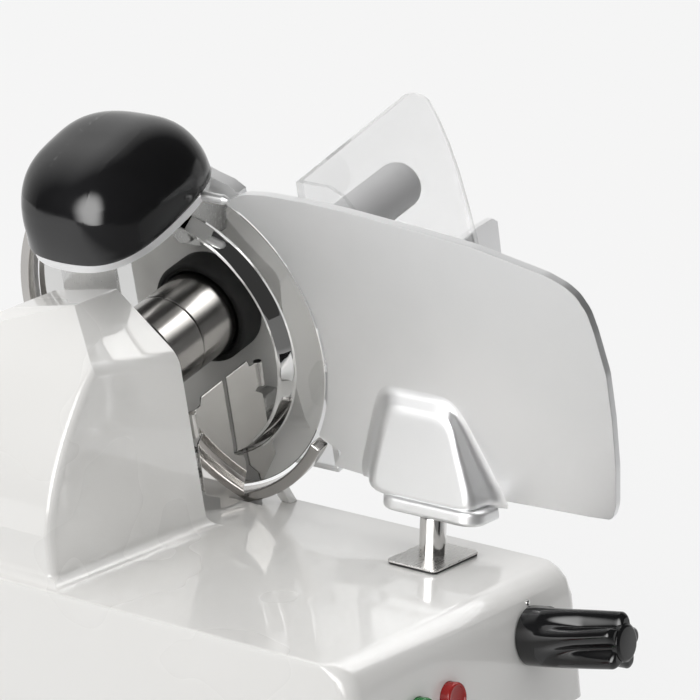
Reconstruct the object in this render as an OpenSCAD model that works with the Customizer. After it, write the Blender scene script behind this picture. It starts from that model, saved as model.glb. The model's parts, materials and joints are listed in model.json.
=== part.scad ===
// Electric food slicer with a leaning blade, a sliding carriage and a built-in sharpener.
// Lengths are millimetres. X runs to the food side, Y to the rear, Z up from the table.

/* [Blade] */
// Diameter of the cutting edge
blade_d = 250; // [235:1:265]
// Angle by which the blade leans from upright
blade_tilt = 15.8; // [13:0.1:19]
// Width of the polished band inside the edge
band_w = 24; // [16:1:32]
// How far the inner rim of the band lies behind the edge
band_depth = 2.3; // [1.5:0.1:3]
// How far the dished centre lies behind the edge
dish_depth = 12.8; // [9:0.1:16]
// Width of the steep cove between the blade's flat disc and its band
cove_w = 6; // [4:0.5:9]
// Thickness of the blade at its centre
blade_t = 3; // [2:0.1:4]
// Circle of the blade screws
blade_screw_pcd = 44; // [38:1:48]

/* [Hub and drive] */
// Diameter of the turned hub behind the blade
hub_d = 64; // [58:1:70]
// Distance from the cutting edge to the tower's face
tower_gap = 72; // [64:1:80]
// Diameter of the blade shaft
shaft_d = 20; // [16:1:24]
// Outer diameter of the shaft bearings
bearing_d = 42; // [38:1:48]
// Width of one shaft bearing
bearing_w = 12; // [10:1:14]
// Radial width of the rubber seal round the hub
seal_w = 6; // [4:1:10]
// Length of the rubber seal along the hub
seal_t = 22; // [16:1:28]
// Diameter of the pulley on the blade shaft
pulley_d = 84; // [74:1:92]
// Diameter of the pulley on the motor
motor_pulley_d = 34; // [28:1:40]
// Width of both pulleys
pulley_w = 16; // [12:1:20]
// Thickness of the belt
belt_t = 3; // [2:0.5:4]
// Distance between the blade axis and the motor axis
drive_centres = 100; // [94:1:106]
// Diameter of the motor can
motor_d = 80; // [70:1:88]
// Length of the motor can
motor_len = 70; // [60:1:80]
// Diameter of the motor shaft
motor_shaft_d = 12; // [8:1:14]

/* [Base] */
// Left side of the base from the blade's centre
base_left = 219; // [210:1:230]
// Right side of the base from the blade's centre
base_right = 53; // [50:1:60]
// Front of the deck from the blade's centre, before its rounding
front_reach = 302; // [296:1:310]
// Rear side of the base from the blade's centre
base_rear = 140; // [136:1:150]
// Height of the blade's centre above the deck
deck_drop = 124; // [120:1:132]
// Height of the cast base
base_h = 90; // [86:1:100]
// Height of the rubber feet
foot_h = 22; // [15:1:30]
// Diameter of the rubber feet
foot_d = 30; // [24:1:34]
// Wall of the casting
wall = 5; // [4:0.5:6]
// Angle by which the front leans back
front_lean = 9; // [7:0.5:11]
// Rounding between the deck and the front
front_r = 20; // [16:1:24]
// Rounding of the deck's other edges
edge_r = 3; // [2:0.5:6]
// Radius of the front corners
corner_front_r = 12; // [10:1:18]
// Radius of the rear corners
corner_rear_r = 25; // [20:1:32]
// Thickness of the bottom cover
cover_t = 3; // [2:0.5:3]

/* [Tower] */
// Front face of the tower from the blade's axis
tower_front = 58; // [56:1:62]
// Rear face of the tower from the blade's axis
tower_rear = 75; // [70:1:85]
// Left side of the tower at its widest
tower_left = 213; // [205:1:217]
// Left end of the front crease
crease_left = 169; // [163:1:175]
// Height of the crease's left end above the blade's centre
crease_high = 16; // [12:1:20]
// Height of the crease's right end above the blade's centre
crease_low = 6; // [3:1:9]
// Left end of the top ridge
ridge_left = 134; // [128:1:140]
// Height of the top ridge above the blade's centre
ridge_h = 48; // [46:1:54]
// Fall of the roof from the ridge towards the rear
ridge_fall = 10; // [8:1:14]

/* [Guard and deflector] */
// Gap between the cutting edge and the guard ring
guard_gap = 2.5; // [2:0.5:4]
// Radial width of the guard ring
guard_w = 8.5; // [6:0.5:10]
// Thickness of the deflector sheet
deflector_t = 1.5; // [1:0.5:3]
// Gap between the blade and the deflector's edge
deflector_gap = 2.2; // [1.5:0.1:4]
// Distance of the deflector in front of the blade's axis
deflector_y = 44; // [42:1:48]
// Width of the deflector's posts
deflector_post_d = 10; // [8:1:12]

/* [Gauge] */
// Thickness of the gauge plate
gauge_t = 6.5; // [5:0.5:8]
// How far the gauge plate's back lies behind the cutting edge
gauge_back = 3; // [2:0.5:3.5]
// Gap between the cutting edge and the gauge plate
gauge_gap = 3.5; // [3:0.5:5]
// Reach of the gauge plate towards the operator
gauge_reach = 356; // [340:1:362]
// Travel of the gauge plate
gauge_travel = 12; // [10:1:12]
// Diameter of the post under the gauge plate
post_d = 18.5; // [16:0.5:20]
// Clear height between the deck and the gauge plate's boss
boss_clear = 29.5; // [26:0.5:32]
// Width of the boss under the gauge plate
boss_w = 88; // [80:1:94]
// Highest point of the gauge plate above the blade's axis
gauge_top = 122.5; // [119:0.5:123]
// Length of the post's cover plate
post_cover_l = 57; // [54:1:62]
// Width of the post's cover plate
post_cover_w = 40; // [36:1:44]
// Diameter of the rod that the gauge slides on
gauge_rod_d = 12; // [10:1:14]

/* [Knob] */
// Diameter of the knob's collar
knob_d = 41; // [36:1:46]
// Length of the knob
knob_len = 73; // [68:1:80]
// Depth of the knob's axis below the deck
knob_drop = 32; // [31:1:36]
// Number of grip lobes on the knob
knob_lobes = 5; // [4:1:8]
// Diameter of the knob's shaft
knob_shaft_d = 10; // [8:1:12]
// Turn of the knob over the gauge's travel
knob_turn = 300; // [270:10:320]
// Diameter of the follower pin
follower_d = 8; // [6:1:9]

/* [Buttons] */
// Diameter of the start and stop buttons
button_d = 22; // [18:1:26]
// Height of the buttons above the front face
button_h = 7; // [5:1:9]
// Distance between the two buttons
button_pitch = 36; // [32:1:44]

/* [Carriage] */
// Far end of the food table from the cutting edge
table_end = 250; // [240:1:262]
// Depth of the food table's top below the blade's axis
table_drop = 95; // [93:1:98]
// Thickness of the food table
table_t = 5; // [4:0.5:6]
// Gap between the cutting edge and the food table
table_gap = 12; // [10:1:14]
// Operator's end of the food table from the blade's axis
table_front = 114.5; // [110:0.5:120]
// Rear end of the food table from the blade's axis
table_rear = 118; // [108:1:120]
// Thickness of the carriage wall
carriage_wall_t = 5; // [4:0.5:6]
// Thickness of the clear hand guard
clear_t = 3.5; // [3:0.5:5]
// Top of the hand guard above the blade's axis
hand_guard_top = 130; // [124:1:140]
// Diameter of the handle
handle_d = 34; // [28:1:36]
// Length of the handle
handle_len = 79; // [72:1:90]
// Gap between the hand guard and the handle
handle_gap = 9; // [8:1:14]
// Diameter of the rod that the carriage slides on
guide_rod_d = 14; // [12:1:15]
// Travel of the carriage towards the operator
carriage_stroke = 230; // [210:1:232]
// Travel of the carriage towards the rear
carriage_back = 18; // [10:1:20]

/* [Pusher] */
// Diameter of the pusher's rod
pusher_rod_d = 12; // [10:1:14]
// Outer diameter of the pusher's sleeve
pusher_sleeve_d = 22; // [20:1:24]
// Width of the pusher's plate
pusher_w = 150; // [130:1:160]
// Thickness of the pusher's plate
pusher_t = 6; // [4:1:8]

/* [Sharpener] */
// Length of the sharpener's cover
dome_l = 136; // [132:1:142]
// Width of the sharpener's cover
dome_w = 100; // [94:1:106]
// Height of the sharpener's cover
dome_h = 54; // [50:1:62]
// Swell of the cover's rear side
dome_swell = 6; // [4:1:8]
// Wall of the sharpener's cover
dome_wall = 3; // [2:0.5:4]
// Rise of the cover towards the blade
dome_tilt = 9; // [6:0.5:11]
// Thickness of the sharpener's base
sharp_base_t = 6; // [5:0.5:7]
// Diameter of the grinding stones
stone_d = 32; // [28:1:34]
// Thickness of the grinding stones
stone_t = 7; // [6:0.5:8]
// Diameter of the stone shafts
stone_shaft_d = 8; // [6:1:9]
// Diameter of the cover's hinge pin
hinge_pin_d = 4; // [3:0.5:5]

/* [Hidden] */
$fn = 64;

// Running clearance between a shaft and its bore
fit = 0.05;
// Gap between parts that pass close to each other
gap = 0.3;
white = [0.93, 0.93, 0.91];
steel = [0.75, 0.76, 0.78];
alloy = [0.82, 0.83, 0.84];
black = [0.06, 0.06, 0.06];
rubber = [0.12, 0.12, 0.12];

blade_r = blade_d / 2;
band_r = blade_r - band_w;
disc_r = band_r - cove_w;
hub_r = hub_d / 2;
shaft_r = shaft_d / 2;
base_bottom = -deck_drop - base_h;
guard_ri = blade_r + guard_gap;
guard_ro = guard_ri + guard_w;
guard_front = 3;
guard_back = 9;
guard_first = -59;
guard_last = 160;

// Blade drive, measured along the blade axis behind the cutting edge
boss_len = 2 * bearing_w + 10;
boss_r = bearing_d / 2 + 8;
pulley_near = tower_gap + boss_len + 6;
pulley_far = pulley_near + pulley_w;
bracket_t = 5;
bracket_top = -drive_centres + 38;
bracket_low = -drive_centres - 30;
bracket_side = 22;
bracket_half = 36;
motor_near = pulley_far + 8 + bracket_t;
motor_far = motor_near + motor_len;
motor_y = 8;
fan_w = 8;
fan_hub_r = 12;

// Gauge post and its slide under the deck
post_x = 3;
post_y = -217.5;
block_x = post_x - 9;
block_l = 60;
block_w = 36;
block_h = 32;
block_top = -deck_drop - 22;
gauge_rod_y = post_y + 4;
gauge_rod_z = block_top - 12;
gauge_boss_x = -66;
gauge_boss_w = 12;
rod_boss_r = 12;
boss_bottom = -deck_drop + boss_clear;

// Knob and cam on the front face
knob_x = -12;
knob_off = 0.6;
cap_proud = 2;
cam_t = 8;
cam_top = -wall - 9;
cam_r0 = 6;
follower_gap = 0.6;
follower_x = -(cam_r0 + follower_d / 2 + follower_gap);
follower_end = -84;
pin_x = knob_x + 4;
pin_drop = 11;
pin_d = 4;
pin_deep = 6;
pin_proud = 0.8;
button_x = -150;
button_drop = 46;
button_travel = 3;
switch_depth = 26;

// Carriage guide inside the right wall
rod_x = 28;
rod_z = base_bottom + 15;
rod_boss_w = 14;
rod_front = -256;
rod_rear = 106;
block_len = 60;
block_y = 0;
slide_w = 24;
slide_h = 18;
bush_wall = 2;
bush_len = 16;
arm_w = 40;
arm_y = 10;
arm_t = 10;
arm_leg_x = base_right + 5;
arm_leg_t = 8;

// Pusher rod beside the carriage wall
pusher_y = -96;
pusher_u = -36;
lug_r = 9;
lug_w = 10;
lug_first = 18;
lug_last = 230;
sleeve_near = 186;
sleeve_len = 40;
spigot_len = 12;
eye_wall = 3;

// Sharpener over the blade's top
sharp_u = blade_r - 3;
sharp_y = -10;
sharp_s = -50;
dome_cut = 61;
dome_power = 2.6;
hinge_y = dome_w / 2 + 6;
hinge_x = -5;
knuckle_r = 5;
knuckle_len = 20;
stone_u = blade_r + 6;
notch_top = stone_u + stone_d / 2 + 2;
edge_stone_y = -8;
burr_stone_y = -12;
edge_stone_face = -4.5;
burr_stone_face = 3;
jaw_near = 5;
jaw_far = 15;

// Place of the blade's centre, with the origin under the middle of the whole machine
left_end = -base_left;
right_end = table_end * cos(blade_tilt) + (table_drop + table_t) * sin(blade_tilt);
knob_reach = knob_off + knob_len + cap_proud;
knob_tip_r = 13;
front_end = front_y(knob_drop) - knob_reach * cos(front_lean) - knob_tip_r * sin(front_lean);
gland_x = -100;
gland_len = 15;
rear_end = base_rear + gland_len;
blade_x = -(left_end + right_end) / 2;
blade_y = -(front_end + rear_end) / 2;
blade_z = foot_h + base_h + deck_drop;

function front_y(drop) = -front_reach - drop * tan(front_lean);
function tower_right(z, inset) = -(tower_gap + inset + z * sin(blade_tilt)) / cos(blade_tilt);
function bezier(a, b, c, t) = (1 - t) * (1 - t) * a + 2 * t * (1 - t) * b + t * t * c;
function rounding(r, depth) = depth < r ? r - sqrt(r * r - (r - depth) * (r - depth)) : 0;
function curve(v) = sign(v) * pow(abs(v), 2 / dome_power);
function dome_outline(a, front, rear, limit) = [for (i = [0 : 5 : 355])
    [-min(a * curve(cos(i)), limit), (i < 180 ? rear : front) * curve(sin(i))]];
// Back of the blade at a radius
function blade_back(r) = r < disc_r ? -dish_depth
    : r < band_r ? -dish_depth + (dish_depth - band_depth) * (r - disc_r) / cove_w
    : -band_depth + (band_depth - 0.4) * (r - band_r) / band_w;

// Frame at the blade's centre, with the machine's own axes
module placed() translate([blade_x, blade_y, blade_z]) children();
// Frame on the blade: X down the blade, Y to the rear, Z along the blade's axis to the food side
module tilted() placed() rotate([0, 90 - blade_tilt, 0]) children();
// Frame on the front face: X to the right, Y up the face, Z out of it
module on_front(x, drop) placed()
    translate([x, front_y(drop), -deck_drop - drop]) rotate([90 - front_lean, 0, 0]) children();
// Frame on the sharpener's base: X down, Y to the rear, Z along the cover
module on_sharpener() tilted() translate([-sharp_u, sharp_y, sharp_s]) rotate([0, -dome_tilt, 0]) children();
// Flat piece along the blade, from points of [Y, height up the blade]
module blade_plate(points, low, high) translate([0, 0, low]) linear_extrude(high - low)
    polygon([for (p = points) [-p[1], p[0]]]);
// Flat piece across the carriage, from points of [distance along the axis, height up the blade]
module cross_plate(points, front, rear) translate([0, rear, 0]) rotate([90, 0, 0]) linear_extrude(rear - front)
    polygon([for (p = points) [-p[1], p[0]]]);
// Cylinder on the blade's frame between two distances along the axis
module rod_s(r, low, high, y = 0, u = 0) translate([-u, y, low]) cylinder(r = r, h = high - low);
module box(low, high) translate(low) cube(high - low);
module tube_s(ro, ri, low, high, y = 0, u = 0) difference() {
    rod_s(ro, low, high, y, u);
    rod_s(ri, low - 1, high + 1, y, u);
}

// Body

module base_ring(x, r, front, inset, depth) {
    side = min(rounding(max(edge_r - inset, 0.5), depth), r - inset - 0.5);
    back = max(rounding(max(front_r - inset, 1), depth) - side, 0);
    drop = depth + inset;
    y = front ? front_y(drop) + r + back : base_rear - r;
    translate([x, y, -deck_drop - drop - 0.1]) cylinder(r = r - inset - side, h = 0.1, $fn = 32);
}

module base_corner(x, r, front, inset, low) {
    for (k = [0, 0.05, 0.2, 0.45, 1]) base_ring(x, r, front, inset, k * front_r);
    base_ring(x, r, front, inset, base_h + low - inset - 0.1);
}

module base_form(inset, low) hull() {
    base_corner(-base_left + corner_front_r, corner_front_r, true, inset, low);
    base_corner(base_right - corner_front_r, corner_front_r, true, inset, low);
    base_corner(base_right - corner_rear_r, corner_rear_r, false, inset, low);
    base_corner(-base_left + corner_rear_r, corner_rear_r, false, inset, low);
}

function tower_side(inset, low) = concat(
    [[-tower_left + 7 + inset, low]],
    [for (i = [0 : 8]) bezier([-tower_left + inset, -90], [-tower_left + 3 + inset, -38],
        [-crease_left + inset, crease_high - inset], i / 8)],
    [[tower_right(crease_low - inset, inset), crease_low - inset], [tower_right(low, inset), low]]);

module tower_form(inset, low) hull() {
    translate([0, tower_rear - inset, 0]) rotate([90, 0, 0])
        linear_extrude(tower_front + tower_rear - 2 * inset) polygon(tower_side(inset, low));
    ridge_bar(-12 + inset, ridge_h, inset);
    ridge_bar(40 - inset, ridge_h - ridge_fall, inset);
}

// Bar on the roof that rises to the right
module ridge_bar(y, top, inset) {
    right = tower_right(top - inset, inset);
    box([-ridge_left + inset, y - 1, top - inset - 4], [-ridge_left + inset + 4, y + 1, top - inset - 3]);
    box([right - 4, y - 1, top - inset - 1], [right, y + 1, top - inset]);
}

post_slot = [[post_x - post_d / 2 - gauge_travel - 2, post_y - post_d / 2 - 1.5],
    [post_x + post_d / 2 + 2, post_y + post_d / 2 + 1.5]];
cover_posts = [[-150, -240], [-150, 118], [-20, 118], [-90, -250]];

module casting_solid() {
    difference() {
        union() {
            base_form(0, 0);
            tower_form(0, -deck_drop - wall);
        }
        base_form(wall, 1);
        tower_form(wall, -deck_drop - wall - 1);
    }
    // pan under the blade
    intersection() {
        base_form(0, 0);
        rotate([0, 90 - blade_tilt, 0])
            rod_s(guard_ro + 3 + wall, -guard_back - 3 - wall, guard_front + 3 + wall);
    }
    // bearing boss behind the tower's face
    rotate([0, 90 - blade_tilt, 0]) rod_s(boss_r, -tower_gap - boss_len, -tower_gap - 1);
    // posts for the bottom cover's screws
    for (p = cover_posts) translate([p[0], p[1], base_bottom + cover_t])
        cylinder(d = 12, h = base_h - cover_t - 1);
    // bosses for the gauge rod and the guide rod
    box([gauge_boss_x, gauge_rod_y - rod_boss_r, gauge_rod_z - rod_boss_r],
        [gauge_boss_x + gauge_boss_w, gauge_rod_y + rod_boss_r, -deck_drop - 1]);
    box([base_right - wall - 8, gauge_rod_y - rod_boss_r, gauge_rod_z - rod_boss_r],
        [base_right - 1, gauge_rod_y + rod_boss_r, gauge_rod_z + rod_boss_r]);
    for (y = [rod_front, rod_rear - rod_boss_w])
        box([rod_x - 12, y, rod_z - 10], [base_right - 2, y + rod_boss_w, rod_z + 10]);
}

module body_casting() color(white) difference() {
    placed() casting_solid();
    tilted() {
        // trough for the blade and its guard
        rod_s(guard_ro + 3, -guard_back - 3, guard_front + 3);
        rod_s(bearing_d / 2 + fit, -tower_gap - boss_len - 1, -tower_gap + 1);
    }
    placed() {
        box([post_slot[0][0], post_slot[0][1], -deck_drop - wall - 1],
            [post_slot[1][0], post_slot[1][1], -deck_drop + 1]);
        box([base_right - wall - 6, arm_y - carriage_stroke - 4, rod_z - slide_h / 2],
            [base_right + 1, arm_y + arm_w + carriage_back + 4, rod_z + slide_h / 2]);
        translate([gauge_boss_x - 1, gauge_rod_y, gauge_rod_z]) rotate([0, 90, 0])
            cylinder(d = gauge_rod_d + 2 * fit, h = base_right - wall - gauge_boss_x);
        translate([rod_x, rod_front - 1, rod_z]) rotate([-90, 0, 0])
            cylinder(d = guide_rod_d + 2 * fit, h = rod_rear - rod_front + 2);
        for (p = cover_posts) translate([p[0], p[1], base_bottom - 1]) cylinder(d = 4 + 2 * fit, h = 16);
        translate([gland_x, base_rear - wall - 1, base_bottom + base_h / 2]) rotate([-90, 0, 0])
            cylinder(d = 12 + 2 * fit, h = wall + 2);
    }
    on_front(knob_x, knob_drop) translate([0, 0, -wall - 3]) cylinder(d = knob_shaft_d + 2 * fit, h = wall + 4);
    on_front(pin_x, pin_drop) translate([0, 0, -rounding(front_r, pin_drop) - pin_deep])
        cylinder(d = pin_d + 2 * fit, h = pin_deep + front_r);
    for (i = [0, 1]) on_front(button_x + i * button_pitch, button_drop)
        translate([0, 0, -wall - 3]) cylinder(d = button_d + 2 * gap, h = wall + 4);
}

module cover_corner(x, r, y) translate([x, y, base_bottom]) cylinder(r = r - wall - gap, h = cover_t, $fn = 32);

module bottom_cover() color(steel) placed() difference() {
    hull() {
        cover_corner(-base_left + corner_front_r, corner_front_r, front_y(base_h - cover_t) + corner_front_r);
        cover_corner(base_right - corner_front_r, corner_front_r, front_y(base_h - cover_t) + corner_front_r);
        cover_corner(base_right - corner_rear_r, corner_rear_r, base_rear - corner_rear_r);
        cover_corner(-base_left + corner_rear_r, corner_rear_r, base_rear - corner_rear_r);
    }
    for (p = cover_posts) translate([p[0], p[1], base_bottom - 1]) cylinder(d = 4.4, h = cover_t + 2);
}

module cover_screws() color(steel) placed() for (p = cover_posts) translate([p[0], p[1], base_bottom]) {
    translate([0, 0, -2.5]) cylinder(d = 9, h = 2.5);
    cylinder(d = 4, h = 14);
}

foot_places = [[-185, -225], [32, -240], [32, 90], [-185, 105]];

module feet() color(rubber) placed() for (p = foot_places) translate([p[0], p[1], base_bottom - foot_h]) {
    cylinder(d = foot_d, h = foot_h);
}

module cable_gland() color(black) placed() translate([gland_x, base_rear, base_bottom + base_h / 2])
    rotate([-90, 0, 0]) difference() {
        union() {
            translate([0, 0, -wall - 4]) cylinder(d = 12, h = wall + 5);
            cylinder(d = 22, h = 4);
            translate([0, 0, 4]) cylinder(d = 16, h = gland_len - 4);
        }
        translate([0, 0, -wall - 5]) cylinder(d = 7, h = wall + gland_len + 6);
    }

// Motor and belt

module motor_can() color([0.35, 0.36, 0.38]) tilted() difference() {
    rod_s(motor_d / 2, -motor_far, -motor_near, motor_y, -drive_centres);
    rod_s(motor_shaft_d / 2 + fit, -motor_far - 1, -motor_near + 1, motor_y, -drive_centres);
}

module motor_bracket() color(steel) tilted() difference() {
    blade_plate([[-tower_front + wall, bracket_top], [tower_rear - wall, bracket_top],
        [tower_rear - wall, bracket_top - bracket_side], [motor_y + bracket_half, bracket_low],
        [motor_y - bracket_half, bracket_low], [-tower_front + wall, bracket_top - bracket_side]],
        -motor_near, -motor_near + bracket_t);
    rod_s(motor_shaft_d / 2 + 3, -motor_near - 1, -motor_near + bracket_t + 1, motor_y, -drive_centres);
}

module motor_shaft() color(steel) tilted()
    rod_s(motor_shaft_d / 2, -motor_far - fan_w - 4, -pulley_near, motor_y, -drive_centres);

module motor_pulley() color(alloy) tilted()
    tube_s(motor_pulley_d / 2, motor_shaft_d / 2 + fit, -pulley_far, -pulley_near, motor_y, -drive_centres);

module motor_fan() color(black) tilted() difference() {
    union() {
        rod_s(fan_hub_r, -motor_far - fan_w - 2, -motor_far - 2, motor_y, -drive_centres);
        for (i = [0 : 45 : 315]) translate([drive_centres, motor_y, -motor_far - fan_w - 1.5]) rotate(i)
            translate([fan_hub_r - 3, -1, 0]) cube([motor_d / 2 - 3 - fan_hub_r, 2, fan_w - 1]);
    }
    rod_s(motor_shaft_d / 2 + fit, -motor_far - fan_w - 3, -motor_far, motor_y, -drive_centres);
}

module belt_loop(extra) hull() {
    circle(d = pulley_d + 2 * extra);
    translate([drive_centres, motor_y]) circle(d = motor_pulley_d + 2 * extra);
}

module drive_belt() color(black) tilted() translate([0, 0, -pulley_far + 2]) linear_extrude(pulley_w - 4)
    difference() {
        belt_loop(gap + belt_t);
        belt_loop(gap);
    }

module blade_pulley() color(alloy) tilted()
    tube_s(pulley_d / 2, shaft_r + fit, -pulley_far, -pulley_near);

module blade_shaft() color(steel) tilted() rod_s(shaft_r, -pulley_far - 4, -dish_depth - 4);

module shaft_bearings() color(steel) tilted() for (z = [-tower_gap - 2 - bearing_w, -tower_gap - boss_len + 2])
    tube_s(bearing_d / 2, shaft_r + fit, z, z + bearing_w);

module shaft_seal() color(rubber) tilted()
    tube_s(hub_r + 1 + seal_w, hub_r + 1, -tower_gap, -tower_gap + seal_t);

module blade_hub() color(steel) tilted() difference() {
    rod_s(hub_r, -tower_gap + 2, -dish_depth);
    rod_s(shaft_r + fit, -tower_gap + 1, -dish_depth - 4);
    for (i = [0 : 3]) rotate(45 + 90 * i) translate([blade_screw_pcd / 2, 0, -dish_depth - 14])
        cylinder(d = 5 + 2 * fit, h = 15);
}

module blade() color(steel) tilted() difference() {
    rotate_extrude($fn = 144) polygon([[0, -dish_depth], [disc_r, -dish_depth], [band_r, -band_depth],
        [blade_r, -0.4], [blade_r, 0], [blade_r - 4, -0.2], [band_r - 1.5, -band_depth + 1.6],
        [disc_r - 0.5, -dish_depth + blade_t], [0, -dish_depth + blade_t]]);
    for (i = [0 : 3]) rotate(45 + 90 * i) translate([blade_screw_pcd / 2, 0, -dish_depth - 1])
        cylinder(d = 5.6, h = blade_t + 2);
}

module blade_screws() color(steel) tilted() for (i = [0 : 3]) rotate(45 + 90 * i)
    translate([blade_screw_pcd / 2, 0, -dish_depth]) {
        translate([0, 0, -12]) cylinder(d = 5, h = 12 + blade_t);
        translate([0, 0, blade_t]) cylinder(d = 10, h = 2.5);
    }

// Guard and deflector

module guard_ring() color(alloy) tilted() rotate(guard_first)
    rotate_extrude(angle = guard_last - guard_first, $fn = 144) translate([guard_ri, -guard_back])
        square([guard_w, guard_back + guard_front]);

column_foot_x = 44;
// Height of the guard ring's underside above the deck at the column
column_rise = 11.23;
ring_low = (deck_drop - column_rise) / cos(blade_tilt);
column_y = -sqrt(max(guard_ro * guard_ro - ring_low * ring_low, 1));
column_w = 9;

module guard_column() color(white) difference() {
    placed() translate([0, column_y + column_w / 2, 0]) rotate([90, 0, 0]) linear_extrude(column_w)
        polygon([[column_foot_x - 5, -deck_drop], [column_foot_x + 4, -deck_drop],
            [column_foot_x - 12, -deck_drop + 19], [column_foot_x - 21, -deck_drop + 19]]);
    tilted() rod_s(guard_ro, -guard_back - 20, guard_front + 30);
}

deflector_axis = -52.5;
deflector_low = -guard_back - deflector_gap;
// The face nearer to the axis meets the deeper part of the blade
deflector_near = deflector_y - deflector_t / 2;
function above_deck(s) = (1 - deck_drop - s * sin(blade_tilt)) / cos(blade_tilt);
// Outline from points of [distance along the axis, height up the blade], the blade's side first
deflector_outline = concat(
    [[-dish_depth - deflector_gap, -25],
    [-dish_depth - deflector_gap, -sqrt(pow(disc_r, 2) - pow(deflector_near, 2))],
    [-band_depth - deflector_gap, -0.5 - sqrt(pow(band_r, 2) - pow(deflector_near, 2))],
    [blade_back(norm([deflector_y, -103])) - deflector_gap, -103]],
    [[deflector_low, -116], [deflector_low, above_deck(deflector_low)], [-38.5, above_deck(-38.5)],
    [-37.3, -107.8], [-51.8, -98.8], [-53.2, -94.5], [-52.3, -57], [-45.2, -51.5], [-47.5, -50],
    [deflector_axis, -50], [deflector_axis, -31], [-47, -31], [-42, -29.8], [-40.5, -25]]);
deflector_posts_at = [-68, -88];

module deflector() color(steel) tilted() {
    cross_plate(deflector_outline, -deflector_y - deflector_t / 2, -deflector_y + deflector_t / 2);
    // rolled edge
    translate([31, -deflector_y, deflector_axis]) rotate([0, 90, 0]) cylinder(r = 3.3, h = 19);
}

module deflector_posts() color(steel) tilted() for (u = deflector_posts_at)
    translate([-u - deflector_post_d / 2, -deflector_y + deflector_t / 2, -tower_gap])
        cube([deflector_post_d, deflector_post_d, tower_gap - 46]);

// Gauge

gauge_arc_r = blade_r + gauge_gap;
gauge_outline = concat(
    [for (a = [61 : -5 : -29]) [-gauge_arc_r * cos(a), gauge_arc_r * sin(a)]],
    [[-131, -71], [-122, -84], [-151, -86], [-272, -80.5], [-gauge_reach + 26, -78], [-gauge_reach + 8, -76.5],
    [-gauge_reach + 4, -66], [-gauge_reach + 1, -36], [-gauge_reach, 1], [-gauge_reach + 1, 34],
    [-gauge_reach + 7, gauge_top - 58], [-gauge_reach + 11, gauge_top - 44],
    [-gauge_reach + 18, gauge_top - 33.5], [-gauge_reach + 26, gauge_top - 27.5],
    [-gauge_reach + 40, gauge_top - 22], [-gauge_reach + 94, gauge_top - 11],
    [-225, gauge_top - 7], [-163, gauge_top - 1.5], [-131, gauge_top], [-98, gauge_top], [-80, gauge_top - 2]]);
boss_top = -22;
boss_foot = -84;
boss_y = -211;
boss_x = -6;
plinth_x = -9;
plinth_end = 46;
plinth_y = -217;
plinth_w = 81;
plinth_r = 10;

module gauge_plate() color(alloy) {
    tilted() blade_plate(gauge_outline, -gauge_back, -gauge_back + gauge_t);
    difference() {
        union() {
            hull() {
                placed() translate([boss_x, 0, 0]) rotate([90, 0, 90]) linear_extrude(0.1)
                    polygon([[boss_y - boss_w / 2, boss_foot], [boss_y + boss_w / 2, boss_foot],
                        [boss_y + boss_w / 2 - 14, boss_top], [boss_y - boss_w / 2 + 22, boss_top]]);
                tilted() blade_plate([[boss_y - boss_w / 2 - 7, boss_foot - 2],
                    [boss_y + boss_w / 2 + 17, boss_foot - 2], [boss_y + boss_w / 2 - 9, boss_top + 10],
                    [boss_y - boss_w / 2 + 27, boss_top + 10]], -gauge_back - 0.1, -gauge_back);
            }
            placed() translate([0, 0, boss_bottom]) linear_extrude(-boss_bottom + boss_foot + 1) hull() {
                for (j = [-1, 1]) {
                    translate([plinth_x + plinth_r, plinth_y + j * (plinth_w / 2 - plinth_r)]) circle(plinth_r);
                    translate([plinth_end, plinth_y + j * (plinth_w / 2 - 1)]) circle(1);
                }
            }
        }
        tilted() rod_s(2 * gauge_reach, -gauge_back, gauge_t + 90);
    }
}

module gauge_post() color(steel) placed() translate([post_x, post_y, block_top])
    cylinder(d = post_d, h = boss_bottom - block_top);

post_cover_t = 1.5;
gasket_t = 1.5;

module post_sheet(length, width, low, thick, hole) difference() {
    translate([post_x - 4, post_y - 3.5, low]) linear_extrude(thick) difference() {
        square([length, width], center = true);
        for (i = [-1, 1], j = [-1, 1]) translate([i * length / 2, j * width / 2]) difference() {
            square(8, center = true);
            translate([-4 * i, -4 * j]) circle(r = 4);
        }
    }
    translate([post_x, post_y, low - 1]) cylinder(d = post_d + 2 * hole, h = thick + 2);
}

module post_cover() color(steel) placed()
    post_sheet(post_cover_l, post_cover_w, -deck_drop + gap + gasket_t, post_cover_t, fit);

module post_gasket() color(rubber) placed()
    post_sheet(post_cover_l - 1, post_cover_w - 1, -deck_drop + gap, gasket_t, fit);

module follower(r, low, high) on_front(knob_x, knob_drop) translate([follower_x, 0, low])
    cylinder(r = r, h = high - low);

module gauge_block() color(alloy) difference() {
    placed() difference() {
        box([block_x - block_l / 2, post_y - block_w / 2 - 2, block_top - block_h],
            [block_x + block_l / 2, post_y + block_w / 2 - 2, block_top]);
        translate([block_x - block_l / 2 - 1, gauge_rod_y, gauge_rod_z]) rotate([0, 90, 0])
            cylinder(d = gauge_rod_d + 2 * fit, h = block_l + 2);
    }
    follower(follower_d / 2 + fit, follower_end - 1, 0);
}

module follower_pin() color(steel) follower(follower_d / 2, follower_end, cam_top + 2);

module gauge_rod() color(steel) placed() translate([gauge_boss_x, gauge_rod_y, gauge_rod_z]) rotate([0, 90, 0])
    cylinder(d = gauge_rod_d, h = base_right - wall - gauge_boss_x - 1.5);

// Knob and buttons

module knob_section(r) polygon([for (i = [0 : 3 : 357])
    (r - 0.6 - 5 * pow(abs(sin(knob_lobes * i / 2)), 1.4)) * [cos(i + 27), sin(i + 27)]]);

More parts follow.
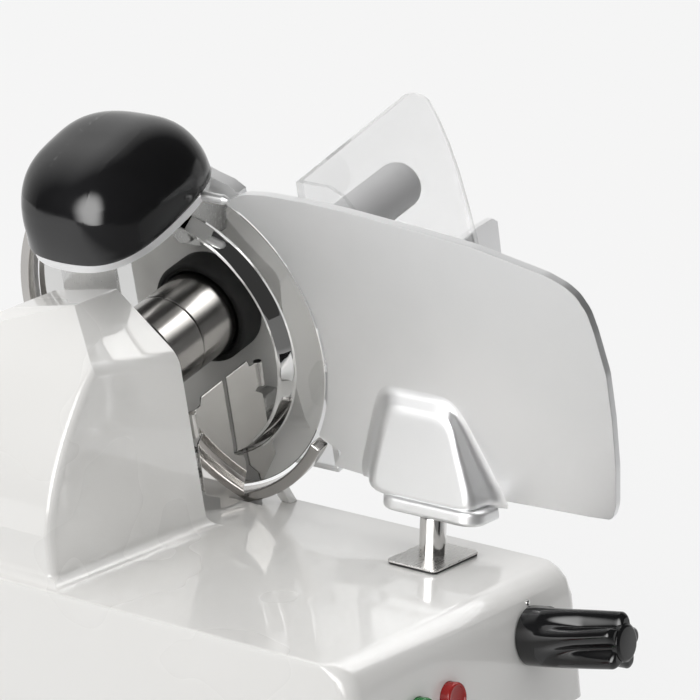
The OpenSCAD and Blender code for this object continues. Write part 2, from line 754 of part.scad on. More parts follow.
module gauge_knob() color(black) on_front(knob_x, knob_drop) difference() {
    union() {
        translate([0, 0, knob_off]) cylinder(d = knob_d, h = 16);
        translate([0, 0, knob_off + 15]) linear_extrude(knob_len - 15, twist = 24, slices = 8)
            knob_section(knob_d / 2);
    }
    translate([0, 0, -1]) cylinder(d = knob_shaft_d + 2 * fit, h = knob_len - 10);
    translate([0, 0, knob_off + knob_len - 3]) cylinder(r = knob_tip_r + fit, h = 4);
}

module knob_cap() color(black) on_front(knob_x, knob_drop)
    translate([0, 0, knob_off + knob_len - 3]) cylinder(r = knob_tip_r, h = 3 + cap_proud);

module cam_shaft() color(steel) on_front(knob_x, knob_drop) {
    translate([0, 0, cam_top - cam_t - 4]) cylinder(d = knob_shaft_d, h = knob_len - 12 - cam_top + cam_t + 4);
    translate([0, 0, cam_top - cam_t]) linear_extrude(cam_t) polygon([for (i = [0 : 10 : knob_turn])
        (cam_r0 + gauge_travel * i / knob_turn) * [cos(180 - i), sin(180 - i)]]);
}

module index_pin() color(steel) on_front(pin_x, pin_drop)
    translate([0, 0, -rounding(front_r, pin_drop) - pin_deep]) cylinder(d = pin_d, h = pin_deep + pin_proud);

module push_button(x) on_front(x, button_drop) {
    translate([0, 0, -wall - 8]) cylinder(d = button_d, h = wall + 8 + button_h);
    translate([0, 0, -wall - 8]) cylinder(d = button_d + 4, h = 2);
}

module start_button() color([0.1, 0.45, 0.2]) push_button(button_x);
module stop_button() color([0.6, 0.08, 0.08]) push_button(button_x + button_pitch);

module switch_box() color(black) on_front(button_x + button_pitch / 2, button_drop) difference() {
    translate([0, 0, -wall * cos(front_lean) - switch_depth / 2])
        cube([2 * button_pitch + 10, button_d + 16, switch_depth], center = true);
    for (i = [-0.5, 0.5]) translate([i * button_pitch, 0, -wall - 8 - button_travel - 2])
        cylinder(d = button_d + 5, h = 20);
}

capacitor_x = -90;
capacitor_y = -120;
capacitor_d = 32;
capacitor_h = 60;

module run_capacitor() color([0.85, 0.85, 0.83]) placed()
    translate([capacitor_x, capacitor_y, base_bottom + cover_t]) cylinder(d = capacitor_d, h = capacitor_h);

// Carriage

module guide_rod() color(steel) placed() translate([rod_x, rod_front, rod_z]) rotate([-90, 0, 0])
    cylinder(d = guide_rod_d, h = rod_rear - rod_front);

module carriage_table() color(alloy) tilted() cross_plate([[table_gap, -table_drop - table_t],
    [table_end, -table_drop - table_t], [table_end, -table_drop + 18], [table_end - 4, -table_drop + 18],
    [table_end - 4, -table_drop], [table_gap, -table_drop]], -table_front, table_rear);

wall_outline = [[table_gap + 3, -table_drop], [table_gap + 3, -20], [60, -5], [table_end - 32, -3.5],
    [table_end - 12, -6], [table_end - 6, -11], [table_end - 6, -table_drop]];

module carriage_wall() color(alloy) tilted() difference() {
    union() {
        cross_plate(wall_outline, -table_front, -table_front + carriage_wall_t);
        for (z = [lug_first, lug_last]) box([-pusher_u - lug_r, -table_front + carriage_wall_t - 1, z],
            [-pusher_u + lug_r, pusher_y + lug_r, z + lug_w]);
    }
    rod_s(pusher_rod_d / 2 + fit, lug_first - 1, lug_last + lug_w + 1, pusher_y, pusher_u);
    for (p = guard_screws_at) translate([-p[1], -table_front - 1, p[0]]) rotate([-90, 0, 0])
        cylinder(d = 4 + 2 * fit, h = 5);
}

module carriage_arm() color(alloy) difference() {
    placed() {
        box([rod_x + slide_w / 2, arm_y, rod_z - arm_t / 2],
            [arm_leg_x + arm_leg_t, arm_y + arm_w, rod_z + arm_t / 2]);
        box([arm_leg_x, arm_y, rod_z - arm_t / 2], [arm_leg_x + arm_leg_t, arm_y + arm_w, 0]);
    }
    tilted() box([-2 * table_drop, arm_y - 1, -table_end], [table_drop + table_t, arm_y + arm_w + 1, table_end]);
}

bush_r = guide_rod_d / 2 + fit + bush_wall;

module slide_block() color(alloy) placed() difference() {
    box([rod_x - slide_w / 2, block_y, rod_z - slide_h / 2],
        [rod_x + slide_w / 2, block_y + block_len, rod_z + slide_h / 2]);
    translate([rod_x, block_y - 1, rod_z]) rotate([-90, 0, 0]) cylinder(d = guide_rod_d + 2, h = block_len + 2);
    for (y = [block_y - 1, block_y + block_len - bush_len]) translate([rod_x, y, rod_z]) rotate([-90, 0, 0])
        cylinder(r = bush_r + fit, h = bush_len + 1);
}

module slide_bushes() color([0.72, 0.53, 0.25]) placed() for (y = [block_y, block_y + block_len - bush_len])
    translate([rod_x, y, rod_z]) rotate([-90, 0, 0]) difference() {
        cylinder(r = bush_r, h = bush_len);
        translate([0, 0, -1]) cylinder(d = guide_rod_d + 2 * fit, h = bush_len + 2);
    }

guard_near = table_gap - 1 + clear_t;
guard_outline = [[guard_near, -60], [guard_near, hand_guard_top - 1], [148, hand_guard_top + 4.5],
    [158, hand_guard_top + 1.5], [166, hand_guard_top - 4], [172, hand_guard_top - 10],
    [181.5, hand_guard_top - 29], [190.5, 78], [198.5, 52], [205.5, 20], [211, -10], [214, -60]];
guard_screws_at = [[60, -40], [130, -40], [200, -40]];
flange_foot = 60;
flange_w = 50;
flange_end = table_front + flange_w;
handle_u = 96;
handle_y = -table_front - clear_t - handle_gap - handle_d / 2;
bolt_d = 8;
bolt_deep = 40;
bolt_head_d = 15;
bolt_head_t = 3;

module hand_guard() color([0.9, 0.93, 0.95, 0.35]) tilted() difference() {
    union() {
        cross_plate(guard_outline, -table_front - clear_t, -table_front);
        blade_plate([[-table_front, flange_foot], [-table_front, hand_guard_top - 1],
            [-flange_end + 23, hand_guard_top - 1], [-flange_end + 13, hand_guard_top - 6],
            [-flange_end + 5, hand_guard_top - 16], [-flange_end, hand_guard_top - 34],
            [-flange_end, flange_foot]], guard_near - clear_t, guard_near);
    }
    rod_s(bolt_d / 2 + fit, guard_near - clear_t - 1, guard_near + 1, handle_y, handle_u);
    for (p = guard_screws_at) translate([-p[1], -table_front - clear_t - 1, p[0]]) rotate([-90, 0, 0])
        cylinder(d = 4.4, h = clear_t + 2);
}

module guard_screws() color(steel) tilted() for (p = guard_screws_at)
    translate([-p[1], -table_front - clear_t, p[0]]) rotate([-90, 0, 0]) {
        translate([0, 0, -2.5]) cylinder(d = 8, h = 2.5);
        cylinder(d = 4, h = clear_t + 3.5);
    }

module carriage_handle() color([0.5, 0.5, 0.5]) tilted() difference() {
    rod_s(handle_d / 2, guard_near, guard_near + handle_len, handle_y, handle_u);
    rod_s(bolt_d / 2 + fit, guard_near - 1, guard_near + bolt_deep + 1, handle_y, handle_u);
}

module handle_bolt() color(steel) tilted() {
    rod_s(bolt_head_d / 2, guard_near - clear_t - bolt_head_t, guard_near - clear_t, handle_y, handle_u);
    rod_s(bolt_d / 2, guard_near - clear_t, guard_near + bolt_deep, handle_y, handle_u);
}

// Pusher

module pusher_rod() color(steel) tilted()
    rod_s(pusher_rod_d / 2, lug_first, lug_last + lug_w, pusher_y, pusher_u);

spigot_r = pusher_sleeve_d / 2 - 2;

module pusher_sleeve() color(black) tilted() difference() {
    union() {
        rod_s(pusher_sleeve_d / 2, sleeve_near, sleeve_near + sleeve_len, pusher_y, pusher_u);
        rod_s(spigot_r, sleeve_near - spigot_len, sleeve_near, pusher_y, pusher_u);
    }
    rod_s(pusher_rod_d / 2 + fit, sleeve_near - spigot_len - 1,
        sleeve_near + sleeve_len + 1, pusher_y, pusher_u);
}

eye_near = sleeve_near - spigot_len + 1;
grip_y = pusher_y + 0.6 * pusher_w;
grip_u = pusher_u - 14;

module pusher_plate() color(alloy) tilted() difference() {
    union() {
        blade_plate([[pusher_y, pusher_u], [pusher_y + 20, pusher_u + 4], [pusher_y + pusher_w, pusher_u - 8],
            [pusher_y + pusher_w, -table_drop + 4], [pusher_y + 12, -table_drop + 4], [pusher_y, pusher_u - 8]],
            eye_near, eye_near + pusher_t);
        rod_s(spigot_r + fit + eye_wall, eye_near, sleeve_near - gap, pusher_y, pusher_u);
        for (i = [1 : 6], j = [0 : 2])
            translate([14 - pusher_u + 14 * j, pusher_y + 10 + 21 * i, eye_near + 0.5])
            rotate([180, 0, 0]) cylinder(r1 = 2.5, r2 = 0.4, h = 6, $fn = 24);
    }
    rod_s(spigot_r + fit, eye_near - 1, sleeve_near + 1, pusher_y, pusher_u);
}

module pusher_grip() color(black) tilted() {
    rod_s(6, eye_near + pusher_t, eye_near + pusher_t + 14, grip_y, grip_u);
    rod_s(14, eye_near + pusher_t + 14, eye_near + pusher_t + 34, grip_y, grip_u);
}

// Sharpener

module sharpener_plate() on_sharpener() rotate([0, 90, 0]) linear_extrude(sharp_base_t)
    polygon(dome_outline(dome_l / 2, dome_w / 2, dome_w / 2, dome_cut + 4));

jaw_outline = [[-68, blade_r - 24], [-68, blade_r - 9], [-60, blade_r - 4], [-46, blade_r], [-38, blade_r + 3],
    [-34, blade_r + 14], [8, blade_r + 14], [8, blade_r - 12], [-44, blade_r - 20]];

lock_r = 3.5;
lock_u = 123.2;
lock_s = -19;
lock_near = -75;
lock_len = 21;

module sharpener_base() color(alloy) difference() {
    union() {
        sharpener_plate();
        tilted() {
            blade_plate(jaw_outline, jaw_near, jaw_far);
            // block that carries the edge stone's shaft
            box([-stone_u - 7, edge_stone_y - 9, -44], [-stone_u + 9, edge_stone_y + 9, -28]);
            // pin that locks the sharpener on the machine
            translate([-lock_u, lock_near, lock_s]) rotate([-90, 0, 0]) {
                cylinder(r = lock_r, h = lock_len);
                translate([0, 0, -4]) cylinder(r1 = lock_r / 2, r2 = lock_r, h = 4.1);
            }
            // arm and foot that stand on the guard ring
            box([-blade_r - 3, 15, -guard_back - 1], [-blade_r + 2.5, 40, guard_front]);
            box([-blade_r - 13, 36, -guard_back], [-blade_r + 2.5, 42, guard_front]);
            difference() {
                box([-blade_r - 13, 36, -guard_back], [-blade_r + 6, 62, guard_front]);
                rod_s(guard_ro, -guard_back - 1, guard_front + 1);
            }
        }
        on_sharpener() for (z = [-knuckle_len, knuckle_len / 2 + gap]) translate([hinge_x, hinge_y, z])
            difference() {
                union() {
                    cylinder(r = knuckle_r, h = knuckle_len / 2 - gap);
                    translate([0, -knuckle_r, 0])
                        cube([-hinge_x + sharp_base_t, 2 * knuckle_r, knuckle_len / 2 - gap]);
                    translate([-hinge_x, -12, 0]) cube([sharp_base_t, 12, knuckle_len / 2 - gap]);
                }
                translate([0, 0, -1]) cylinder(d = hinge_pin_d + 2 * fit, h = knuckle_len);
            }
    }
    tilted() {
        // room for the blade and the two stones
        rod_s(blade_r + 2.5, -6, 4);
        box([-stone_u - 20, edge_stone_y - stone_d / 2 - 3, -24],
            [-blade_r + 30, edge_stone_y + stone_d / 2 + 3, -1]);
        rod_s(stone_d / 2 + 2, -8, burr_stone_face + stone_t + 1, burr_stone_y, stone_u);
        rod_s(stone_shaft_d / 2 + fit, -45, -20, edge_stone_y, stone_u);
        rod_s(stone_shaft_d / 2 + fit, 0, jaw_far + 1, burr_stone_y, stone_u);
    }
}

module dome_form(inset, low) hull() for (level = [0, 12, 26, 42, 58, 74, 88]) {
    full = pow(cos(level), 0.62);
    rear = (dome_w / 2 - inset) * pow(cos(level), 0.34) + dome_swell * sin(2 * max(level - 10, 0));
    rise = (dome_h - inset) * sin(level);
    translate([-rise - low, 0, 0]) rotate([0, 90, 0]) linear_extrude(0.1)
        polygon(dome_outline((dome_l / 2 - inset) * full, (dome_w / 2 - inset) * full, rear,
            dome_cut - inset - 0.2 * rise));
}

module sharpener_cover() color(black) difference() {
    on_sharpener() difference() {
        union() {
            dome_form(0, gap + 0.1);
            translate([hinge_x, hinge_y, -knuckle_len / 2]) cylinder(r = knuckle_r, h = knuckle_len);
            translate([hinge_x - knuckle_r, hinge_y - 9, -knuckle_len / 2]) cube([knuckle_r, 9, knuckle_len]);
        }
        translate([gap, 0, 0]) dome_form(dome_wall, gap);
        translate([hinge_x, hinge_y, -knuckle_len]) cylinder(d = hinge_pin_d + 2 * fit, h = 2 * knuckle_len);
    }
    tilted() {
        // opening for the stones and the cutting edge
        box([-notch_top, burr_stone_y - stone_d / 2 - 2, -12], [0, edge_stone_y + stone_d / 2 + 2, jaw_far + 4]);
        // room for the jaw
        box([-blade_r - 16, -70, jaw_near - 1], [0, edge_stone_y + stone_d / 2 + 2, jaw_far + 4]);
    }
}

stay_t = 3;
stay_top = sharp_u - (tower_gap + sharp_s) * tan(dome_tilt) - sharp_base_t / cos(dome_tilt) - gap;
stay_low = hub_r + 1 + seal_w + 5;
stay_bolts = [[14, stay_low + 7], [26, stay_low + 16]];

// Plate on the tower's face that holds the sharpener's base up
module sharpener_stay() color(steel) tilted() {
    blade_plate([[-14, stay_low + 18], [4, stay_low + 9], [4, stay_low], [24, stay_low], [35, stay_low + 9],
        [35, stay_top], [-14, stay_top]], -tower_gap, -tower_gap + stay_t);
    for (p = stay_bolts) translate([-p[1], p[0], -tower_gap + stay_t - 0.1]) cylinder(d = 9, h = 3.6, $fn = 6);
}

module hinge_pin() color(steel) on_sharpener() translate([hinge_x, hinge_y, -knuckle_len])
    cylinder(d = hinge_pin_d, h = 2 * knuckle_len);

spigot_d = 6;

module edge_stone_shaft() color(steel) tilted() {
    rod_s(stone_shaft_d / 2, -50, edge_stone_face - stone_t - gap, edge_stone_y, stone_u);
    rod_s(spigot_d / 2, edge_stone_face - stone_t - gap - 0.1, edge_stone_face - 1, edge_stone_y, stone_u);
    rod_s(8, -56, -50, edge_stone_y, stone_u);
}

module edge_stone() color([0.75, 0.7, 0.62]) tilted()
    tube_s(stone_d / 2, spigot_d / 2 + fit, edge_stone_face - stone_t, edge_stone_face, edge_stone_y, stone_u);

module burr_stone_shaft() color(steel) tilted() {
    rod_s(stone_shaft_d / 2, burr_stone_face + stone_t + gap, jaw_far + 5, burr_stone_y, stone_u);
    rod_s(spigot_d / 2, burr_stone_face + 1, burr_stone_face + stone_t + gap + 0.1, burr_stone_y, stone_u);
    rod_s(8, jaw_far + 5, jaw_far + 11, burr_stone_y, stone_u);
}

module burr_stone() color([0.6, 0.55, 0.5]) tilted()
    tube_s(stone_d / 2, spigot_d / 2 + fit, burr_stone_face, burr_stone_face + stone_t, burr_stone_y, stone_u);

body_casting();
bottom_cover();
cover_screws();
feet();
cable_gland();
motor_can();
motor_bracket();
motor_shaft();
motor_pulley();
motor_fan();
drive_belt();
blade_pulley();
blade_shaft();
shaft_bearings();
shaft_seal();
blade_hub();
blade();
blade_screws();
guard_ring();
guard_column();
deflector();
deflector_posts();
gauge_plate();
gauge_post();
post_cover();
post_gasket();
gauge_block();
follower_pin();
gauge_rod();
gauge_knob();
knob_cap();
cam_shaft();
index_pin();
start_button();
stop_button();
switch_box();
run_capacitor();
guide_rod();
carriage_table();
carriage_wall();
carriage_arm();
slide_block();
slide_bushes();
hand_guard();
guard_screws();
carriage_handle();
handle_bolt();
pusher_rod();
pusher_sleeve();
pusher_plate();
pusher_grip();
sharpener_base();
sharpener_stay();
sharpener_cover();
hinge_pin();
edge_stone_shaft();
edge_stone();
burr_stone_shaft();
burr_stone();
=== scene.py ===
# %% [markdown]
# # An electric food slicer, dressed for the studio
# The solids of the slicer are already exact: a white casting, a leaning steel blade, a gauge
# plate, a carriage and a sharpener. This lesson puts the surfaces on them. The frame loads the
# solids in metres, and every new piece is made in that same frame, so nothing has to be fitted.

# %% Load the frame
import json
import math

import bmesh
import bpy
from mathutils import Matrix, Vector


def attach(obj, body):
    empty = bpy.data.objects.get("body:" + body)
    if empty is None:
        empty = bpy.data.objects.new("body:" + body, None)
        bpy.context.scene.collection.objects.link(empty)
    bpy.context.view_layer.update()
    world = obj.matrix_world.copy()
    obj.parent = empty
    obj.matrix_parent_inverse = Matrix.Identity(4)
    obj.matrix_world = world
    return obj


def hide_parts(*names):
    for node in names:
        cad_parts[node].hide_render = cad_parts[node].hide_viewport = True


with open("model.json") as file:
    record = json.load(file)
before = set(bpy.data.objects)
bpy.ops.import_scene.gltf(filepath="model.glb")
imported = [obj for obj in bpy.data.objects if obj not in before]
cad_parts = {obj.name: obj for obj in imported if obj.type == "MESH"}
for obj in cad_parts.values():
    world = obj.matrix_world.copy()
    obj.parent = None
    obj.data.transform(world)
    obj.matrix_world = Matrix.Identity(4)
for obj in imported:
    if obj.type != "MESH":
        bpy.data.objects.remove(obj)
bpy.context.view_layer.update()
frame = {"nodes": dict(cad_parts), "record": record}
nodes = frame["nodes"]

# %% [markdown]
# ## Two places to measure from
# Sizes on the real machine are taken from the blade: its centre is the origin for the castings,
# and the blade's own plane, which leans 15.8 degrees, is the origin for all that lies along it.
# Two matrices hold these places. In the leaning one, X runs down the blade, Y to the rear and Z
# along the shaft to the food side, so a round piece is spun about Z there and then set in place.

# %% The machine's frame and the leaning blade's frame
MM = 0.001
BLADE_CENTRE = Vector((-24.391, 114.386, 236.0)) * MM
BLADE_LEAN = math.radians(15.8)
machine = Matrix.Translation(BLADE_CENTRE)
leaning = machine @ Matrix.Rotation(math.pi / 2 - BLADE_LEAN, 4, "Y")
print("blade axis:", [round(v, 3) for v in leaning.to_3x3().col[2]])

# %% [markdown]
# ## The camera
# The picture was taken with a long lens from the operator's left, a little above the deck. The
# blade's rim is a circle, so the ellipse that it makes in the picture, together with the deck's
# edges, gives the direction and the distance. The camera's axes are written out from the two
# angles and a small roll, and then turned so that the picture's middle is the lens's middle.

# %% Camera at the picture's angle
TURN, RISE, ROLL = math.radians(54.86), math.radians(15.15), math.radians(1.54)
FOCUS = 3358 / 700
ASIDE, DOWN = 63.4 / 3358, 13.3 / 3358

right = Vector((math.cos(TURN), -math.sin(TURN), 0))
ahead = Vector((math.sin(TURN) * math.cos(RISE), math.cos(TURN) * math.cos(RISE), -math.sin(RISE)))
above = Vector((math.sin(TURN) * math.sin(RISE), math.cos(TURN) * math.sin(RISE), math.cos(RISE)))
right, above = (right * math.cos(ROLL) + above * math.sin(ROLL),
                above * math.cos(ROLL) - right * math.sin(ROLL))
aim = (ahead + right * ASIDE + above * DOWN).normalized()
side = (right - aim * right.dot(aim)).normalized()
view_axes = Matrix((side, (-aim).cross(side), -aim)).transposed().to_4x4()

lens = bpy.data.cameras.new("picture_lens")
lens.sensor_width = 36
lens.lens = 36 * FOCUS
camera = bpy.data.objects.new("picture_camera", lens)
camera.matrix_world = Matrix.Translation((-1.8633, -1.2738, 0.8366)) @ view_axes
bpy.context.scene.collection.objects.link(camera)
bpy.context.scene.camera = camera
print("lens:", round(lens.lens, 1), "mm")

# %% [markdown]
# ## Floor, sky and lamps
# A product studio is a white cove with one broad soft lamp. In the picture the faces towards the
# left and upwards are the brightest and those towards the operator the dullest, so the sky gives
# more light from the lamp's side: the direction of each ray is compared with one direction, and
# the result sets the strength. Mirrors need another sky: white where the cove is, behind the
# machine, and dark where the room is, behind the camera, or black plastic would look grey. Light
# Path tells the rays apart, and shows the camera itself an evenly pale cove. A softbox is bright
# in its middle and fades to its rim, so what mirrors show of it is a soft patch of that sky, and
# the lamp itself, which has a hard rim, is kept out of the mirrors.

# %% Floor and sky
scene = bpy.context.scene
scene.view_settings.view_transform = "Standard"


def either(tree, first, second):
    pick = tree.nodes.new("ShaderNodeMath")
    pick.operation = "MAXIMUM"
    tree.links.new(first, pick.inputs[0])
    tree.links.new(second, pick.inputs[1])
    return pick.outputs[0]


sky = bpy.data.worlds.new("white_cove")
sky.use_nodes = True
scene.world = sky
sky_tree = sky.node_tree


def sky_towards(name, way, low, high, dark, bright, ease="LINEAR"):
    """A sky whose strength grows from dark to bright towards one direction."""
    ray_way = sky_tree.nodes.new("ShaderNodeTexCoord").outputs["Generated"]
    agree = sky_tree.nodes.new("ShaderNodeVectorMath")
    agree.operation = "DOT_PRODUCT"
    agree.inputs[1].default_value = way
    sky_tree.links.new(ray_way, agree.inputs[0])
    level = sky_tree.nodes.new("ShaderNodeMapRange")
    level.interpolation_type = ease
    level.inputs["From Min"].default_value = low
    level.inputs["From Max"].default_value = high
    level.inputs["To Min"].default_value = dark
    level.inputs["To Max"].default_value = bright
    sky_tree.links.new(agree.outputs["Value"], level.inputs["Value"])
    light = sky_tree.nodes.new("ShaderNodeBackground")
    light.name = name
    light.inputs["Color"].default_value = (1.0, 0.997, 0.99, 1)
    sky_tree.links.new(level.outputs["Result"], light.inputs["Strength"])
    return light.outputs[0]


sky_light = sky_towards("lit_from_left", way=(-0.32, 0.42, 0.85), low=-0.35, high=0.8, dark=0.04,
                        bright=1.24)
sky_mirrored = sky_towards("seen_in_mirrors", way=(0.60, 0.75, 0.15), low=0.25, high=0.75, dark=0.05,
                           bright=0.90)
softbox_mirrored = sky_towards("softbox_in_mirrors", way=(-0.95, -0.08, 0.30), low=0.80, high=0.99, dark=0,
                               bright=6, ease="SMOOTHSTEP")
all_mirrored = sky_tree.nodes.new("ShaderNodeAddShader")
sky_tree.links.new(sky_mirrored, all_mirrored.inputs[0])
sky_tree.links.new(softbox_mirrored, all_mirrored.inputs[1])
sky_seen = sky_tree.nodes["Background"]
sky_seen.inputs["Color"].default_value = (0.905, 0.905, 0.905, 1)
sky_seen.inputs["Strength"].default_value = 1.0
sky_path = sky_tree.nodes.new("ShaderNodeLightPath")
mirror_mix = sky_tree.nodes.new("ShaderNodeMixShader")
sky_tree.links.new(sky_path.outputs["Is Glossy Ray"], mirror_mix.inputs[0])
sky_tree.links.new(sky_light, mirror_mix.inputs[1])
sky_tree.links.new(all_mirrored.outputs[0], mirror_mix.inputs[2])
sky_mix = sky_tree.nodes.new("ShaderNodeMixShader")
sky_is_seen = either(sky_tree, sky_path.outputs["Is Camera Ray"], sky_path.outputs["Is Transmission Ray"])
sky_tree.links.new(sky_is_seen, sky_mix.inputs[0])
sky_tree.links.new(mirror_mix.outputs[0], sky_mix.inputs[1])
sky_tree.links.new(sky_seen.outputs[0], sky_mix.inputs[2])
sky_tree.links.new(sky_mix.outputs[0], sky_tree.nodes["World Output"].inputs["Surface"])

floor_bm = bmesh.new()
bmesh.ops.create_grid(floor_bm, x_segments=8, y_segments=8, size=12)
floor_mesh = bpy.data.meshes.new("studio_floor")
floor_bm.to_mesh(floor_mesh)
floor_bm.free()
floor = bpy.data.objects.new("studio_floor", floor_mesh)
scene.collection.objects.link(floor)

floor_paint = bpy.data.materials.new("studio_floor_paint")
floor_paint.use_nodes = True
floor_tree = floor_paint.node_tree
floor_shader = floor_tree.nodes["Principled BSDF"]
floor_shader.inputs["Base Color"].default_value = (0.60, 0.60, 0.60, 1)
floor_shader.inputs["Roughness"].default_value = 0.9
floor_glow = floor_tree.nodes.new("ShaderNodeEmission")
floor_glow.inputs["Color"].default_value = (0.975, 0.975, 0.975, 1)
floor_share = floor_tree.nodes.new("ShaderNodeMath")
floor_share.operation = "MULTIPLY"
floor_share.inputs[1].default_value = 0.84
floor_path = floor_tree.nodes.new("ShaderNodeLightPath")
floor_seen = either(floor_tree, floor_path.outputs["Is Camera Ray"],
                    floor_path.outputs["Is Transmission Ray"])
floor_lit = either(floor_tree, floor_seen, floor_path.outputs["Is Glossy Ray"])
floor_tree.links.new(floor_lit, floor_share.inputs[0])
floor_way = floor_tree.nodes.new("ShaderNodeVectorMath")
floor_way.operation = "DOT_PRODUCT"
floor_way.inputs[1].default_value = (0.35, 0.75, 0)
floor_tree.links.new(floor_tree.nodes.new("ShaderNodeTexCoord").outputs["Object"], floor_way.inputs[0])
floor_mirrored = floor_tree.nodes.new("ShaderNodeMapRange")
floor_mirrored.inputs["From Min"].default_value = -0.45
floor_mirrored.inputs["From Max"].default_value = -0.1
floor_mirrored.inputs["To Min"].default_value = 0.12
floor_mirrored.inputs["To Max"].default_value = 1.0
floor_tree.links.new(floor_way.outputs["Value"], floor_mirrored.inputs["Value"])
glow_level = either(floor_tree, floor_seen, floor_mirrored.outputs["Result"])
floor_tree.links.new(glow_level, floor_glow.inputs["Strength"])
floor_mix = floor_tree.nodes.new("ShaderNodeMixShader")
floor_tree.links.new(floor_share.outputs[0], floor_mix.inputs[0])
floor_tree.links.new(floor_shader.outputs[0], floor_mix.inputs[1])
floor_tree.links.new(floor_glow.outputs[0], floor_mix.inputs[2])
floor_tree.links.new(floor_mix.outputs[0], floor_tree.nodes["Material Output"].inputs["Surface"])
floor_mesh.materials.append(floor_paint)
print("floor and sky made")


# %% Lamps
def soft_lamp(name, place, target, width, power):
    light = bpy.data.lights.new(name, "AREA")
    light.shape = "DISK"
    light.size = width
    light.energy = power
    lamp = bpy.data.objects.new(name, light)
    turn = (Vector(target) - Vector(place)).to_track_quat("-Z", "Y")
    lamp.matrix_world = Matrix.Translation(place) @ turn.to_matrix().to_4x4()
    lamp.visible_glossy = False
    scene.collection.objects.link(lamp)
    return lamp


soft_lamp("left_softbox", (-2.2, 0.7, 1.5), (0, 0, 0.2), 1.2, 11)

# %% [markdown]
# ## Finishes
# No surface on the real machine is one flat colour. Enamel has a faint orange peel, blasted metal
# has a fine grain, moulded plastic has a skin, and edges are rubbed brighter or duller by use.
# Each finish below is a Principled shader with three things on it: a colour that drifts between
# two close tones, a roughness that drifts with it, and a fine relief. The Bevel node gives the
# direction of a rounded edge; where it differs from the true face there is an edge to wear.


# %% Small helpers for the finishes
def new_finish(name):
    finish = bpy.data.materials.new(name)
    finish.use_nodes = True
    tree = finish.node_tree
    place = tree.nodes.new("ShaderNodeTexCoord").outputs["Object"]
    return finish, tree, tree.nodes["Principled BSDF"], place


def clouds(tree, place, scale, detail=3.0):
    noise = tree.nodes.new("ShaderNodeTexNoise")
    noise.inputs["Scale"].default_value = scale
    noise.inputs["Detail"].default_value = detail
    tree.links.new(place, noise.inputs["Vector"])
    return noise.outputs["Fac"]


def stretched(tree, place, scale):
    mapping = tree.nodes.new("ShaderNodeMapping")
    mapping.inputs["Scale"].default_value = scale
    tree.links.new(place, mapping.inputs["Vector"])
    return mapping.outputs["Vector"]


def drift(tree, factor, low, high):
    """A number that follows the pattern between two values."""
    spread = tree.nodes.new("ShaderNodeMapRange")
    spread.interpolation_type = "SMOOTHSTEP"
    spread.inputs["From Min"].default_value = 0.3
    spread.inputs["From Max"].default_value = 0.7
    spread.inputs["To Min"].default_value = low
    spread.inputs["To Max"].default_value = high
    tree.links.new(factor, spread.inputs["Value"])
    return spread.outputs["Result"]


def tones(tree, factor, first, second):
    """A colour that follows the pattern between two close tones."""
    ramp = tree.nodes.new("ShaderNodeValToRGB")
    ramp.color_ramp.interpolation = "EASE"
    ramp.color_ramp.elements[0].position = 0.3
    ramp.color_ramp.elements[1].position = 0.7
    ramp.color_ramp.elements[0].color = (*first, 1)
    ramp.color_ramp.elements[1].color = (*second, 1)
    tree.links.new(factor, ramp.inputs["Fac"])
    return ramp.outputs["Color"]


def worn_edge(tree, width, strength):
    """Close to the strength along edges, and 0 on open faces."""
    bevel = tree.nodes.new("ShaderNodeBevel")
    bevel.samples = 4
    bevel.inputs["Radius"].default_value = width
    geometry = tree.nodes.new("ShaderNodeNewGeometry")
    agree = tree.nodes.new("ShaderNodeVectorMath")
    agree.operation = "DOT_PRODUCT"
    tree.links.new(bevel.outputs["Normal"], agree.inputs[0])
    tree.links.new(geometry.outputs["Normal"], agree.inputs[1])
    spread = tree.nodes.new("ShaderNodeMapRange")
    spread.inputs["From Min"].default_value = 0.995
    spread.inputs["From Max"].default_value = 0.8
    spread.inputs["To Min"].default_value = 0.0
    spread.inputs["To Max"].default_value = strength
    tree.links.new(agree.outputs["Value"], spread.inputs["Value"])
    return spread.outputs["Result"]


def over(tree, factor, under, colour):
    mix = tree.nodes.new("ShaderNodeMix")
    mix.data_type = "RGBA"
    tree.links.new(factor, mix.inputs["Factor"])
    tree.links.new(under, mix.inputs["A"])
    mix.inputs["B"].default_value = (*colour, 1)
    return mix.outputs["Result"]


def relief(tree, shader, height, strength, depth):
    bump = tree.nodes.new("ShaderNodeBump")
    bump.inputs["Strength"].default_value = strength
    bump.inputs["Distance"].default_value = depth
    tree.links.new(height, bump.inputs["Height"])
    tree.links.new(bump.outputs["Normal"], shader.inputs["Normal"])


def dress(tree, shader, colour, roughness):
    tree.links.new(colour, shader.inputs["Base Color"])
    tree.links.new(roughness, shader.inputs["Roughness"])


print("finish helpers ready")

# %% [markdown]
# ### Enamel
# The casting is sand-cast aluminium under thick white enamel. A gloss coat over a slightly
# rougher colour gives the two-layer look, and the orange peel is about one millimetre wide. The
# enamel draws thin on edges, where it turns a little greyer.

# %% White enamel
enamel, tree, shader, place = new_finish("white_enamel")
body_tone = tones(tree, clouds(tree, place, 5), (0.815, 0.808, 0.79), (0.83, 0.824, 0.81))
dress(tree, shader, over(tree, worn_edge(tree, 0.0012, 0.35), body_tone, (0.70, 0.69, 0.67)),
      drift(tree, clouds(tree, place, 4), 0.27, 0.31))
shader.inputs["Coat Weight"].default_value = 1.0
shader.inputs["Coat Roughness"].default_value = 0.03
relief(tree, shader, clouds(tree, place, 420, 1.0), 0.05, 0.0003)
print("made", enamel.name)

